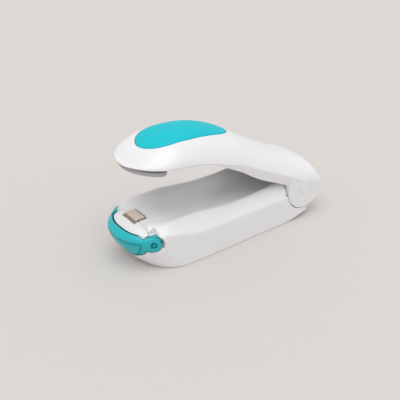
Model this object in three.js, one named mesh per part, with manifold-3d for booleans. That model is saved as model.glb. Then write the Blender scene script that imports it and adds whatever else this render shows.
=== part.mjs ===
// A pocket bag sealer: a battery base with a sprung heating strip at its nose, and a hinged arm that
// presses a bag against the strip. Millimetres, +Z up, the nose towards -Y, the hinge towards +Y, the origin
// under the middle of the object. The arm stands open, as it does when nobody presses it.
import * as THREE from "three";
import { mergeVertices } from "three/addons/utils/BufferGeometryUtils.js";
import Module from "manifold-3d";

const wasm = await Module();
wasm.setup();

// Overall
const bodyLength = 100.8;
const bodyWidth = 36.4;
const shellWall = 1.8;
const runGap = 0.3;
const overrun = 3;

// Base tub
const platformHeight = 19.8;
const dishHeight = 17.3;
const crestNoseDrop = 0.5;
const crestFrontRise = 0.6;
const crestHeight = 18.4;
const crestRearHeight = 19.8;
const crestInset = 5.5;
const shoulderHeight = 14.2;
const shoulderNoseDrop = 4.2;
const shoulderFrontDrop = 1.8;
const shoulderRearHeight = 13.2;
const noseDepth = 21.5;
const keelNoseDepth = 14.6;
const bowOverhang = 9.6;
const bowDrop = 7.8;
const edgeRound = 0.9;
const keelRound = 0.4;
const sideBow = 1;
const tailOverhang = 4.1;
const sternRise = 4.2;
const sternLength = 16.2;
const sternCorner = 3;

// Hinge
const hingeHeight = 15.2;
const lobeRadius = 10.2;
const lobeWidth = 6.4;
const barrelRadius = 8.5;
const pinRadius = 1.5;
const capRadius = 3.6;
const capDepth = 2;
const springSlotWidth = 7.2;
const torsionRadius = 3.1;
const torsionWire = 0.35;
const torsionTurns = 4.35;
const torsionLeg = 7.8;

// Safety clip
const clipSetback = 9.2;
const clipPivotDrop = 6.7;
const clipEarRadius = 3.6;
const clipInnerHalfWidth = 12.4;
const clipChinDrop = 15;
const clipSmileRadius = 22.6;
const clipEarCornerRadius = 4.3;
const clipEarRear = 3.7;
const clipEarLow = 1;
const clipEarInner = 13.4;
const clipPinRadius = 1;
const clipPinInner = 12.4;
const clipPinOuter = 16;

// Heating strip
const heaterSetback = 10.8;
const heaterLength = 9;
const heaterBreadth = 4.4;
const heaterProud = 0.5;
const tapeThickness = 0.3;
const ribbonThickness = 0.25;
const ribbonBreadth = 2.4;
const wellMarginX = 0.3;
const wellMarginFront = 1.7;
const wellMarginRear = 0.7;
const roomHalfWidth = 8.2;
const roomFrontRadius = 4.2;
const guideWall = 1.2;
const guideDepth = 9.4;
const carrierFlange = 1.5;
const carrierShoulderDrop = 4.8;
const tapeDrop = 4;
const tapeRodRadius = 0.55;
const heaterTravel = 1.2;
const heaterSpringRadius = 0.9;
const heaterSpringWire = 0.22;
const heaterSpringX = 3;
const heaterSpringSetback = 1.2;
const switchThickness = 0.4;
const switchHalfWidth = 1.5;
const switchStrip = 1.2;

// Battery bay
const cellRadius = 7.1;
const cellLength = 50;
const cellSpacing = 14.6;
const cellNubRadius = 2.7;
const cellNubLength = 1.2;
const contactThickness = 0.4;
const contactSize = 11;
const contactSpringLength = 4.6;
const contactSpringWire = 0.3;
const plateThickness = 1.5;
const doorThickness = 1.3;
const doorRecess = 0.2;
const doorHalfWidth = 13.4;
const doorFrontMargin = 2.4;
const doorRearMargin = 8.6;
const doorTravel = 3;
const doorLip = 3.6;
const doorLipThickness = 0.6;
const bayUpperHalfWidth = 13.8;
const bayStep = 12.3;
const screwRadius = 1.1;
const screwHeadRadius = 2.1;
const screwHeadDepth = 1;
const footScrewReach = 2.2;
const armScrewLength = 7;
const plateScrewHalfSpan = 9;
const plateScrewSetback = 17.2;
const leadRadius = 0.45;

// Arm
const armHeight = 53.6;
const armSetback = 5.2;
const armNoseHalfWidth = 17;
const armNoseDepth = 17;
const armCeiling = 3;
const armFlank = 2.4;
const chineTuck = 1;
const linerThickness = 1.4;
const footDrop = 11.7;
const footSetback = 15;
const footLength = 14.6;
const footInset = 1.5;
const footTilt = THREE.MathUtils.degToRad(10);
const footPadRise = 0.2;
const footThickness = 1.7;
const footNeckInset = 3.6;
const footNeck = 1.6;
const footScrewX = 9.2;
const footScrewSetback = 1.6;
const pressPadLength = 12;
const pressPadBreadth = 4.8;
const pressPadThickness = 2;
const pressPadProud = 0.6;
const thumbPadSetback = 13.8;
const thumbPadLength = 42.6;
const thumbPadWidth = 19.7;
const thumbPadProud = 0.35;
const thumbPadDepth = 0.9;
const armPostRadius = 2.6;
const armPostFrontSetback = 34;
const armPostRearSetback = 62;

// Shares along the body, and there the shares of the arm's height of its crown, its widest edge and its
// lowest edge. The arch table holds the exponent of its section instead.
const armCrownShares = [
  [0.052, 0.848], [0.065, 0.862], [0.088, 0.89], [0.131, 0.937], [0.175, 0.975], [0.214, 1],
  [0.268, 1.013], [0.316, 1.009], [0.369, 0.998], [0.418, 0.977], [0.465, 0.947], [0.514, 0.909],
  [0.563, 0.864], [0.601, 0.824], [0.66, 0.75], [0.726, 0.67], [0.785, 0.607], [0.843, 0.563],
  [0.901, 0.547], [0.94, 0.514], [0.965, 0.476], [0.985, 0.422], [0.995, 0.37], [1, 0.31],
];
const armChineShares = [
  [0.052, 0.852], [0.122, 0.848], [0.22, 0.834], [0.315, 0.818], [0.415, 0.762], [0.521, 0.698],
  [0.631, 0.597], [0.746, 0.489], [0.805, 0.433], [0.896, 0.341], [0.96, 0.28], [1, 0.262],
];
const armHemShares = [
  [0.052, 0.84], [0.122, 0.836], [0.22, 0.821], [0.315, 0.801], [0.385, 0.772], [0.45, 0.706],
  [0.525, 0.631], [0.637, 0.496], [0.755, 0.384], [0.797, 0.343], [0.86, 0.29], [0.93, 0.22], [0.975, 0.21],
  [1, 0.27],
];
const armArchShares = [
  [0.052, 1.75], [0.13, 1.8], [0.2, 1.95], [0.3, 2.2], [0.45, 2.3], [0.62, 2.2], [0.74, 2.2], [0.84, 2.2],
  [0.9, 2.4], [0.96, 2.8], [1, 2.8],
];
const armStationShares = [
  0.0535, 0.06, 0.075, 0.1, 0.13, 0.165, 0.21, 0.26, 0.31, 0.36, 0.41, 0.46, 0.51, 0.56, 0.61, 0.66,
  0.71, 0.76, 0.81, 0.86, 0.9, 0.93, 0.955, 0.975, 0.99, 1,
];
// Shares of the thumb pad's length, and of its half width there.
const thumbPadShares = [
  [0, 0], [0.014, 0.3], [0.056, 0.6], [0.123, 0.83], [0.21, 0.96], [0.315, 0.99], [0.43, 1], [0.55, 0.97],
  [0.665, 0.92], [0.77, 0.85], [0.865, 0.73], [0.935, 0.54], [0.98, 0.3], [1, 0],
];
// Shares of the nose block's half width, and of its radius about the clip's pivot there.
const noseBlockShares = [
  [0, 1], [0.26, 0.985], [0.4, 0.96], [0.52, 0.915], [0.63, 0.86], [0.73, 0.8], [0.82, 0.72], [0.9, 0.63],
  [0.96, 0.55], [1, 0.5],
];
// Shares along the body at which the rim's crest and the dish's floor pass from one height to the next.
const crestBlendShares = { front: [0.07, 0.15], fall: [0.3, 0.5], rise: [0.6, 0.78] };
const dishBlendShares = [0.17, 0.33];
const shoulderBlendShares = { nose: [0.05, 0.16], fall: [0.12, 0.31], drop: [0.66, 0.8] };
const sideBowShares = { front: 0.02, peak: 0.32, rear: 0.76 };

// Facet counts and outline exponents
const noseSteps = 13;
const sideSteps = 12;
const sternSteps = 5;
const noseExponent = 2.25;
const sternExponent = 2.6;
const archSteps = 14;
const roundFacets = 40;
const smallFacets = 14;

// Places worked out from the sizes
const sides = [-1, 1];
const frontY = -bodyLength / 2;
const rearY = bodyLength / 2;
const halfWidth = bodyWidth / 2;
const hingeY = rearY - lobeRadius;
const lobeInner = halfWidth - lobeWidth;
const scoopRadius = lobeRadius + 1.4 * runGap;
const tailY = hingeY + tailOverhang;
const clipY = frontY + clipSetback;
const bowHeight = platformHeight - bowDrop;
const crestNoseHeight = platformHeight - crestNoseDrop;
const crestFrontHeight = platformHeight + crestFrontRise;
const shoulderNoseHeight = platformHeight - shoulderNoseDrop;
const shoulderFrontHeight = platformHeight - shoulderFrontDrop;
const clipPivotHeight = platformHeight - clipPivotDrop;
const coreRadius = clipPivotDrop;
const clipChin = platformHeight - clipChinDrop;
const clipTop = clipPivotHeight + clipEarRadius;
const heaterY = frontY + heaterSetback;
const heaterTop = platformHeight + heaterProud;
const ribbonTop = heaterTop - tapeThickness;
const carrierTop = ribbonTop - ribbonThickness;
const carrierShoulder = platformHeight - carrierShoulderDrop;
const guideBottom = platformHeight - guideDepth;
const bayRear = hingeY - scoopRadius - shellWall;
const bayLength = cellLength + cellNubLength + contactSpringLength + 2 * contactThickness;
const bayFront = bayRear - bayLength;
const cellX = cellSpacing / 2;
const cellZ = doorRecess + doorThickness + runGap / 2 + cellRadius;
const bayCeiling = cellZ + cellRadius + runGap;
const roomRear = heaterY + heaterBreadth / 2 + wellMarginFront + guideWall + 2 * runGap;
const padY = frontY + footSetback;
const footHeight = armHeight - footDrop;
const padFaceZ = footHeight - pressPadProud;
const padReach = Math.hypot(hingeY - padY, padFaceZ - hingeHeight);
const openAngle = Math.asin((padFaceZ - hingeHeight) / padReach);
const closeAngle = openAngle - Math.asin((heaterTop + runGap - hingeHeight) / padReach);

// Finishes
const finish = (
  color,
  roughness,
  metalness = 0,
) => new THREE.MeshStandardMaterial({ color, roughness, metalness });
const whiteGloss = finish(0xf3f2f1, 0.32);
const whiteInner = finish(0xe9e8e6, 0.55);
const tealPad = finish(0x32c4d4, 0.45);
const tealClip = finish(0x28a5b0, 0.35);
const beigeTape = finish(0xcdc3b0, 0.6);
const blackPhenolic = finish(0x2a2826, 0.6);
const greyRubber = finish(0xb4b6b9, 0.8);
const steel = finish(0xc9cbce, 0.3, 1);
const springSteel = finish(0xa9abad, 0.35, 1);
const nickel = finish(0xd2cfc6, 0.3, 1);
const cellWrap = finish(0x3f4650, 0.4);
const redLead = finish(0xb02a22, 0.5);
const blackLead = finish(0x222222, 0.5);

// Booleans

function solidOf(geometry) {
  const bare = geometry.clone();
  bare.deleteAttribute("normal");
  bare.deleteAttribute("uv");
  const merged = mergeVertices(bare, 1e-4);
  return new wasm.Manifold(
    new wasm.Mesh({
      numProp: 3,
      vertProperties: new Float32Array(merged.attributes.position.array),
      triVerts: new Uint32Array(merged.index.array),
    }),
  );
}

function geometryOf(solid) {
  const mesh = solid.getMesh();
  const geometry = new THREE.BufferGeometry();
  geometry.setAttribute("position", new THREE.BufferAttribute(new Float32Array(mesh.vertProperties), 3));
  geometry.setIndex(new THREE.BufferAttribute(new Uint32Array(mesh.triVerts), 1));
  geometry.computeVertexNormals();
  return geometry;
}

const join = (...shapes) => geometryOf(shapes.map(solidOf).reduce((a, b) => a.add(b)));
const cut = (shape, ...tools) => geometryOf(tools.map(solidOf).reduce((a, b) =>
  a.subtract(b), solidOf(shape))
);
const common = (...shapes) => geometryOf(shapes.map(solidOf).reduce((a, b) => a.intersect(b)));

// Shapes

// A box between two corners. The two places along X are taken in either order.
function block(x0, x1, y0, y1, z0, z1) {
  const geometry = new THREE.BoxGeometry(Math.abs(x1 - x0), y1 - y0, z1 - z0);
  return geometry.translate((x0 + x1) / 2, (y0 + y1) / 2, (z0 + z1) / 2);
}

// A round bar along X between two places, in either order, about the point y, z.
function barX(radius, x0, x1, y, z, facets = roundFacets) {
  const geometry = new THREE.CylinderGeometry(radius, radius, Math.abs(x1 - x0), facets);
  return geometry.rotateZ(Math.PI / 2).translate((x0 + x1) / 2, y, z);
}

// A round bar along Y.
function barY(radius, x, y0, y1, z, facets = roundFacets) {
  const geometry = new THREE.CylinderGeometry(radius, radius, y1 - y0, facets);
  return geometry.translate(x, (y0 + y1) / 2, z);
}

// A round bar along Z.
function barZ(radius, x, y, z0, z1, facets = smallFacets) {
  const geometry = new THREE.CylinderGeometry(radius, radius, z1 - z0, facets);
  return geometry.rotateX(Math.PI / 2).translate(x, y, (z0 + z1) / 2);
}

// A side profile, points of y and z, carried across from x0 to x1.
function slab(profile, x0, x1) {
  const shape = new THREE.Shape(profile.map(([y, z]) => new THREE.Vector2(y, z)));
  const geometry = new THREE.ExtrudeGeometry(shape, { depth: x1 - x0, bevelEnabled: false });
  const turn = new THREE.Matrix4().makeBasis(
    new THREE.Vector3(0, 1, 0),
    new THREE.Vector3(0, 0, 1),
    new THREE.Vector3(1, 0, 0),
  );
  return geometry.applyMatrix4(turn).translate(x0, 0, 0);
}

// A plan outline, points of x and y, carried up from z0 to z1.
function prism(outline, z0, z1) {
  const shape = new THREE.Shape(outline.map(([x, y]) => new THREE.Vector2(x, y)));
  return new THREE.ExtrudeGeometry(shape, { depth: z1 - z0, bevelEnabled: false }).translate(0, 0, z0);
}

// A wire of small section along a list of points.
function wire(points, radius, facets = 4) {
  const path = new THREE.CatmullRomCurve3(points, false, "centripetal");
  const section = new THREE.Shape();
  section.absarc(0, 0, radius, 0, 2 * Math.PI);
  const steps = Math.ceil(points.length * 1.5);
  return new THREE.ExtrudeGeometry(
    section,
    { steps, curveSegments: facets, extrudePath: path, bevelEnabled: false },
  );
}

// A coil about the axis from one point to another, from one radius to another.
function coil(from, to, radius0, radius1, turns, wireRadius) {
  const axis = new THREE.Vector3().subVectors(to, from);
  const frame = new THREE.Quaternion().setFromUnitVectors(
    new THREE.Vector3(0, 0, 1),
    axis.clone().normalize(),
  );
  const steps = turns * 9;
  const points = [];
  for (let i = 0; i <= steps; i++) {
    const share = i / steps;
    const angle = share * turns * 2 * Math.PI;
    const radius = radius0 + (radius1 - radius0) * share;
    const local = new THREE.Vector3(
      radius * Math.cos(angle),
      radius * Math.sin(angle),
      share * axis.length(),
    );
    points.push(local.applyQuaternion(frame).add(from));
  }
  const path = new THREE.CatmullRomCurve3(points);
  const section = new THREE.Shape();
  section.absarc(0, 0, wireRadius, 0, 2 * Math.PI);
  return new THREE.ExtrudeGeometry(
    section,
    { steps, curveSegments: 4, extrudePath: path, bevelEnabled: false },
  );
}

// A closed body through rings of equal count. A ring starts on the plane of symmetry, and point j mirrors
// point n - j, so each end is closed by strips from side to side.
function loft(rings) {
  const n = rings[0].length;
  const positions = rings.flat().flatMap((p) => [p.x, p.y, p.z]);
  const index = [];
  for (let r = 0; r + 1 < rings.length; r++)
    for (let i = 0; i < n; i++) {
      const j = (i + 1) % n;
      index.push(r * n + i, r * n + j, (r + 1) * n + j, r * n + i, (r + 1) * n + j, (r + 1) * n + i);
    }
  const last = (rings.length - 1) * n;
  for (let i = 0; i < n / 2; i++) {
    const [a, b, c, d] = [i, i + 1, (n - i - 1) % n, (n - i) % n];
    for (const [p, q, s] of [[a, b, c], [a, c, d]])
      if (p !== q && q !== s && s !== p) {
        index.push(p, s, q);
        index.push(last + p, last + q, last + s);
      }
  }
  const geometry = new THREE.BufferGeometry();
  geometry.setAttribute("position", new THREE.Float32BufferAttribute(positions, 3));
  geometry.setIndex(index);
  return geometry;
}

// Reads a table of rising first numbers, with straight lines between.
function lookUp(table, at) {
  const i = Math.max(1, table.findIndex(([a]) => a >= at));
  if (at >= table[table.length - 1][0]) return table[table.length - 1][1];
  const [[a0, b0], [a1, b1]] = [table[i - 1], table[i]];
  return b0 + (b1 - b0) * Math.min(1, Math.max(0, (at - a0) / (a1 - a0)));
}

const mix = (a, b, t) => a + (b - a) * t;
const smooth = (a, b, t) => THREE.MathUtils.smoothstep(t, a, b);
const alongBody = (y) => (y - frontY) / bodyLength;
const yAt = (share) => frontY + share * bodyLength;

// Base tub

const power = (value, exponent) => Math.sign(value) * Math.abs(value) ** exponent;

// How far the bowed sides widen the plan at a station.
function bowed(y) {
  const share = alongBody(y);
  const { front, peak, rear } = sideBowShares;
  const swell = share < peak ? smooth(front, peak, share) : 1 - smooth(peak, rear, share);
  return 1 + (sideBow / halfWidth) * swell;
}

// One level of the hull, from the stern's middle round the side to the nose and back.
function hullRing({ side, front, depth, rear, corner, height }) {
  const half = [];
  for (let i = 0; i < sternSteps; i++) {
    const angle = (Math.PI / 2) * (1 - i / sternSteps);
    const x = side * power(Math.cos(angle), 2 / sternExponent);
    half.push([x, rear - corner * (1 - power(Math.sin(angle), 2 / sternExponent))]);
  }
  for (let i = 0; i < sideSteps; i++) half.push([side, mix(rear - corner, front + depth, i / sideSteps)]);
  for (let i = 0; i <= noseSteps; i++) {
    const angle = (Math.PI / 2) * (i / noseSteps);
    const x = side * power(Math.cos(angle), 2 / noseExponent);
    half.push([i === noseSteps ? 0 : x, front + depth * (1 - power(Math.sin(angle), 2 / noseExponent))]);
  }
  const other = half.slice(1, -1).reverse().map(([x, y]) => [-x, y]);
  // From the stern's middle the ring goes forward on the left, so that its faces look out.
  return [...half, ...other].map(([x, y]) => new THREE.Vector3(-x * bowed(y), y, height(y)));
}

const keel = (y) => sternRise * Math.max(0, (y - (tailY - sternLength)) / sternLength) ** 1.5;

function shoulder(y) {
  const share = alongBody(y);
  const front = mix(shoulderNoseHeight, shoulderFrontHeight, smooth(...shoulderBlendShares.nose, share));
  const middle = mix(front, shoulderHeight, smooth(...shoulderBlendShares.fall, share));
  return mix(middle, shoulderRearHeight, smooth(...shoulderBlendShares.drop, share));
}

function crest(y) {
  const share = alongBody(y);
  const front = mix(crestNoseHeight, crestFrontHeight, smooth(...crestBlendShares.front, share));
  const middle = mix(front, crestHeight, smooth(...crestBlendShares.fall, share));
  return mix(middle, crestRearHeight, smooth(...crestBlendShares.rise, share));
}

const dish = (y) => mix(platformHeight, dishHeight, smooth(...dishBlendShares, alongBody(y)));

// How much of the bow's overhang is left to gain at a height.
const bowLeft = (z) => Math.max(0, 1 - z / bowHeight) ** 1.35;

function hullLevel(z, inset, height) {
  const left = bowLeft(z);
  return hullRing({
    side: halfWidth - inset,
    front: frontY + bowOverhang * left + inset,
    depth: mix(noseDepth, keelNoseDepth, left) - inset,
    rear: tailY - inset / 2,
    corner: Math.max(sternCorner - inset / 2, edgeRound),
    height,
  });
}

function makeHull() {
  const wallShares = [0, 0.07, 0.2, 0.35, 0.5, 0.7, 0.88, 1];
  const rings = wallShares.map((share, i) =>
    hullLevel(
      share * (shoulderNoseHeight - edgeRound),
      i === 0 ? keelRound : 0,
      (y) => mix(keel(y), shoulder(y) - edgeRound, share),
    ),
  );
  rings.push(hullLevel(bowHeight, edgeRound / 2, shoulder));
  rings.push(hullLevel(bowHeight, 1.6 * edgeRound, (y) => shoulder(y) + edgeRound));
  rings.push(hullLevel(bowHeight, crestInset / 2, (y) => mix(shoulder(y) + edgeRound, crest(y), 0.3)));
  rings.push(hullLevel(bowHeight, crestInset, crest));
  rings.push(hullLevel(bowHeight, 1.25 * crestInset, (y) => mix(crest(y), dish(y), 0.6)));
  rings.push(hullLevel(bowHeight, 1.65 * crestInset, (y) => mix(crest(y), dish(y), 0.9)));
  rings.push(hullLevel(bowHeight, 0.7 * halfWidth, dish));
  rings.push(hullLevel(bowHeight, 0.93 * halfWidth, dish));
  return loft(rings);
}

const hull = makeHull();

function arc(y, z, radius, from, to, steps) {
  const points = [];
  for (let i = 0; i <= steps; i++) {
    const angle = THREE.MathUtils.degToRad(mix(from, to, i / steps));
    points.push([y + radius * Math.cos(angle), z + radius * Math.sin(angle)]);
  }
  return points;
}

// The nose block that the clip turns round: a body of revolution about the clip's pivot. A gap grows it.
function noseBlock(gap) {
  const half = noseBlockShares.map(([x, r]) =>
    [x * (clipInnerHalfWidth - runGap) + (x === 1 ? gap : 0), r * coreRadius + gap]
  );
  const full = [...half.slice(1).reverse().map(([x, r]) => [-x, r]), ...half];
  const outline = [[full[0][0], 0], ...full, [full[full.length - 1][0], 0]];
  const geometry = new THREE.LatheGeometry(outline.map(([x, r]) => new THREE.Vector2(r, x)), roundFacets);
  return geometry.rotateZ(-Math.PI / 2).translate(0, clipY, clipPivotHeight);
}

// The room that the clip takes in front of its pivot. A gap shrinks it.
function clipRoom(top, gap) {
  const reach = halfWidth + overrun;
  const lowerRear = clipY - 0.6 * clipEarRadius;
  const smile = barY(
    clipSmileRadius - gap,
    0,
    frontY - overrun,
    lowerRear - gap,
    clipChin + clipSmileRadius,
    2 * roundFacets,
  );
  const lower = common(smile, block(-reach, reach, frontY - overrun, clipY, 0, clipChin + clipSmileRadius));
  const upper = block(-reach, reach, frontY - overrun, clipY - gap, clipPivotHeight, top);
  return cut(
    join(lower, upper),
    noseBlock(gap),
    block(-reach, reach, frontY - 2 * overrun, clipY, top, 3 * platformHeight),
  );
}

// An ear of the clip, round below its pivot and nearly square above. A gap grows it.
function earBlock(side, inner, outer, gap) {
  const [from, to] = [side * inner, side * outer];
  const y0 = clipY - clipEarCornerRadius - gap;
  const y1 = clipY + (gap > 0 ? clipEarCornerRadius + gap : clipEarRear);
  const z0 = clipPivotHeight - clipEarLow - 2 * gap;
  const z1 = clipPivotHeight + (gap > 0 ? clipEarCornerRadius + gap : clipEarRadius);
  const corner = barX(clipEarCornerRadius + gap, from, to, clipY, clipPivotHeight);
  const top = common(
    corner,
    join(block(from, to, y0, y1, clipPivotHeight, z1), block(from, to, clipY, y1, z0, z1)),
  );
  return join(barX(clipEarRadius + gap, from, to, clipY, clipPivotHeight), top);
}

// The base plate's outline, inside the hull's bottom edge. A gap shrinks it.
function plateOutline(gap) {
  const ring = hullRing({
    side: halfWidth - edgeRound - shellWall / 2 - gap,
    front: frontY + bowOverhang + edgeRound + gap,
    depth: keelNoseDepth - shellWall - gap,
    rear: bayRear - gap,
    corner: edgeRound,
    height: () => 0,
  });
  return ring.map((p) => [p.x, p.y]);
}

const wellX = heaterLength / 2 + wellMarginX;
const wellFront = heaterY - heaterBreadth / 2 - wellMarginFront;
const wellRear = heaterY + heaterBreadth / 2 + wellMarginRear;
const screwY = frontY + plateScrewSetback;
const screwTop = cellZ - screwRadius;

function makeBaseShell() {
  const wallTop = 2 * platformHeight;
  const reach = halfWidth + overrun;
  const lobeGap = lobeInner - runGap;
  const barrel = barX(barrelRadius, -lobeGap, lobeGap, hingeY, hingeHeight);
  const web = slab(
    [
      [bayRear, dishHeight],
      [bayRear, keel(bayRear) + edgeRound],
      [tailY - edgeRound, keel(tailY) + edgeRound],
      [hingeY + barrelRadius / 2, hingeHeight - barrelRadius / 2],
      [hingeY, hingeHeight],
    ],
    -lobeGap,
    lobeGap,
  );
  // Room that the arm sweeps over the hinge, and the scoops that its lobes turn in
  const sweep = block(-reach, reach, bayRear + shellWall, rearY + overrun, hingeHeight + edgeRound, wallTop);
  const rearSweep = block(-reach, reach, hingeY, rearY + overrun, keel(tailY) + edgeRound, wallTop);
  const scoops = sides.map((side) =>
    barX(scoopRadius, side * lobeGap, side * reach, hingeY, hingeHeight),
  );
  // Battery bay and heater room, both open below
  const bay = join(
    block(-halfWidth + shellWall, halfWidth - shellWall, bayFront, bayRear, -overrun, bayStep),
    block(-bayUpperHalfWidth, bayUpperHalfWidth, bayFront, bayRear, -overrun, bayCeiling),
  );
  const room = slab(
    [
      [roomRear, -overrun],
      [roomRear, platformHeight - shellWall],
      [clipY + shellWall, platformHeight - shellWall],
      ...arc(clipY, clipPivotHeight, roomFrontRadius, 90, 230, 8),
      [clipY - edgeRound, clipPivotHeight - 2 * roomFrontRadius],
      [clipY + edgeRound / 2, plateThickness],
      [frontY + bowOverhang + edgeRound + shellWall, -overrun],
    ],
    -roomHalfWidth,
    roomHalfWidth,
  );
  const well = block(-wellX, wellX, wellFront, wellRear, guideBottom - runGap, wallTop);
  const guide = block(
    -wellX - guideWall,
    wellX + guideWall,
    wellFront - guideWall,
    wellRear + guideWall,
    guideBottom,
    platformHeight - shellWall / 2,
  );
  const seat = prism(plateOutline(0), -overrun, plateThickness);
  const holes = sides.map((side) =>
    barZ(screwRadius + runGap / 2, side * plateScrewHalfSpan, screwY, 0, screwTop + runGap),
  );
  const earRooms = sides.map((side) => earBlock(side, clipEarInner - runGap, reach, runGap));
  const pinHoles = sides.map((side) =>
    barX(
      clipPinRadius + runGap / 3,
      side * clipPinInner,
      side * halfWidth,
      clipY,
      clipPivotHeight,
      smallFacets,
    ),
  );
  // Slot for the torsion spring, and the pin's bore
  const slotHalf = springSlotWidth / 2;
  const slot = join(
    barX(torsionRadius + 2 * torsionWire + runGap, -slotHalf, slotHalf, hingeY, hingeHeight),
    block(
      -slotHalf,
      slotHalf,
      hingeY - barrelRadius - overrun,
      hingeY,
      hingeHeight - torsionRadius - 2 * torsionWire,
      wallTop,
    ),
    block(-slotHalf, slotHalf, hingeY - runGap, hingeY + torsionRadius + torsionWire, hingeHeight, wallTop),
  );
  const bore = barX(pinRadius + runGap / 3, -halfWidth, halfWidth, hingeY, hingeHeight, 2 * smallFacets);
  // Lead channels from the bay to the heater room
  const channels = sides.map((side) =>
    block(
      side * cellX - 2 * leadRadius,
      side * cellX + 2 * leadRadius,
      roomRear - runGap,
      bayFront + runGap,
      -overrun,
      cellZ / 2 + 2 * leadRadius,
    ),
  );
  let shell = cut(hull, sweep, rearSweep, ...scoops);
  shell = cut(shell, bay, room);
  shell = join(
    shell,
    common(guide, hull),
    cut(barrel, slot),
    common(web, join(barrel, block(-reach, reach, bayRear, tailY, 0, dishHeight))),
  );
  return cut(
    shell,
    clipRoom(wallTop, 0),
    ...earRooms,
    well,
    seat,
    ...holes,
    ...pinHoles,
    slot,
    bore,
    ...channels,
  );
}

const doorFront = bayFront + doorFrontMargin;
const doorRear = bayRear - doorRearMargin;

function makeBasePlate() {
  const width = doorHalfWidth + runGap;
  const plate = prism(plateOutline(runGap / 2), 0, plateThickness);
  const opening = block(-width, width, doorFront - runGap, doorRear + doorTravel + runGap, -overrun, overrun);
  // The door's lip runs back in a step cut from below.
  const step = block(
    -width,
    width,
    doorRear,
    doorRear + doorLip + doorTravel + runGap,
    -overrun,
    doorRecess + doorLipThickness + runGap / 2,
  );
  const holes = sides.map((side) =>
    barZ(screwRadius + runGap / 2, side * plateScrewHalfSpan, screwY, -overrun, overrun)
  );
  const sinks = sides.map((side) =>
    barZ(
      screwHeadRadius + runGap / 2,
      side * plateScrewHalfSpan,
      screwY,
      -overrun,
      doorRecess + screwHeadDepth,
    ),
  );
  return cut(plate, opening, step, ...holes, ...sinks);
}

function makeBatteryDoor() {
  const panel = block(
    -doorHalfWidth,
    doorHalfWidth,
    doorFront,
    doorRear,
    doorRecess,
    doorRecess + doorThickness,
  );
  const lip = block(
    -doorHalfWidth,
    doorHalfWidth,
    doorRear - doorLip,
    doorRear + doorLip,
    doorRecess,
    doorRecess + doorLipThickness,
  );
  const grips = [0, 1, 2, 3].map((i) => {
    const y = doorFront + overrun + i * 2 * edgeRound;
    return block(
      -doorHalfWidth / 3,
      doorHalfWidth / 3,
      y,
      y + edgeRound,
      -overrun,
      doorRecess + edgeRound / 2,
    );
  });
  return cut(join(panel, lip), ...grips);
}

// A pan screw along Z: its head below, its shank above.
function screwUp(x, y, z, length) {
  return join(
    cut(
      barZ(screwHeadRadius, x, y, z, z + screwHeadDepth),
      block(
        x - screwHeadRadius / 2,
        x + screwHeadRadius / 2,
        y - runGap,
        y + runGap,
        z - overrun,
        z + screwHeadDepth / 2,
      ),
      block(
        x - runGap,
        x + runGap,
        y - screwHeadRadius / 2,
        y + screwHeadRadius / 2,
        z - overrun,
        z + screwHeadDepth / 2,
      ),
    ),
    barZ(screwRadius, x, y, z + screwHeadDepth / 2, z + length),
  );
}

function makeClip() {
  const reach = halfWidth + overrun;
  // Clears the rim behind the pivot as the clip swings up.
  const wedge = slab(
    [
      [clipY + overrun, clipPivotHeight],
      [clipY, clipPivotHeight],
      [clipY - 3 * clipEarRadius, clipPivotHeight + 3 * clipEarRadius],
      [clipY + overrun, clipPivotHeight + 3 * clipEarRadius],
    ],
    -reach,
    reach,
  );
  const ears = sides.map((side) => common(earBlock(side, clipEarInner, reach, 0), hull));
  const pinHoles = barX(
    clipPinRadius + runGap / 3,
    -halfWidth,
    halfWidth,
    clipY,
    clipPivotHeight,
    smallFacets,
  );
  const band = cut(common(hull, clipRoom(clipTop, runGap)), wedge);
  return cut(join(band, ...ears), pinHoles);
}

// Heating strip

const carrierHalf = heaterLength / 2 - ribbonThickness - runGap / 3;
const carrierBottom = guideBottom - runGap - carrierFlange;
const stemFront = heaterY - heaterBreadth / 4;

function makeCarrier() {
  const stem = block(
    -carrierHalf,
    carrierHalf,
    heaterY - heaterBreadth / 2 + tapeThickness + runGap / 3,
    heaterY + heaterBreadth / 2 - tapeThickness - runGap / 3,
    carrierShoulder - edgeRound,
    carrierTop - runGap / 6,
  );
  const guided = block(
    -carrierHalf,
    carrierHalf,
    wellFront + runGap,
    wellRear - runGap,
    guideBottom + edgeRound,
    carrierShoulder,
  );
  const root = block(
    -carrierHalf,
    carrierHalf,
    stemFront,
    wellRear - runGap,
    carrierBottom,
    guideBottom + 2 * edgeRound,
  );
  const flange = block(
    -wellX - guideWall + runGap,
    wellX + guideWall - runGap,
    heaterY + ribbonBreadth / 2 + runGap,
    wellRear - runGap,
    carrierBottom,
    carrierBottom + carrierFlange,
  );
  return join(stem, guided, root, flange);
}

function makeRibbon() {
  const half = ribbonBreadth / 2;
  const outer = block(
    -heaterLength / 2,
    heaterLength / 2,
    heaterY - half,
    heaterY + half,
    carrierBottom - edgeRound,
    ribbonTop,
  );
  const inner = block(
    -heaterLength / 2 + ribbonThickness,
    heaterLength / 2 - ribbonThickness,
    heaterY - half - runGap,
    heaterY + half + runGap,
    -overrun,
    ribbonTop - ribbonThickness,
  );
  return cut(outer, inner);
}

function makeTape() {
  const half = heaterBreadth / 2;
  const end = heaterLength / 2 - runGap;
  const outer = block(-end, end, heaterY - half, heaterY + half, heaterTop - tapeDrop, heaterTop);
  const inner = block(
    -end - runGap,
    end + runGap,
    heaterY - half + tapeThickness,
    heaterY + half - tapeThickness,
    -overrun,
    ribbonTop + runGap / 6,
  );
  return cut(outer, inner);
}

const tapeRodY = heaterY - heaterBreadth / 2 - wellMarginFront / 2;
const makeTapeRod = () => barX(
  tapeRodRadius,
  -wellX + runGap,
  wellX - runGap,
  tapeRodY,
  platformHeight - 2.2 * tapeRodRadius,
  smallFacets,
);

const springY = heaterY + heaterSpringSetback;

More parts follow.
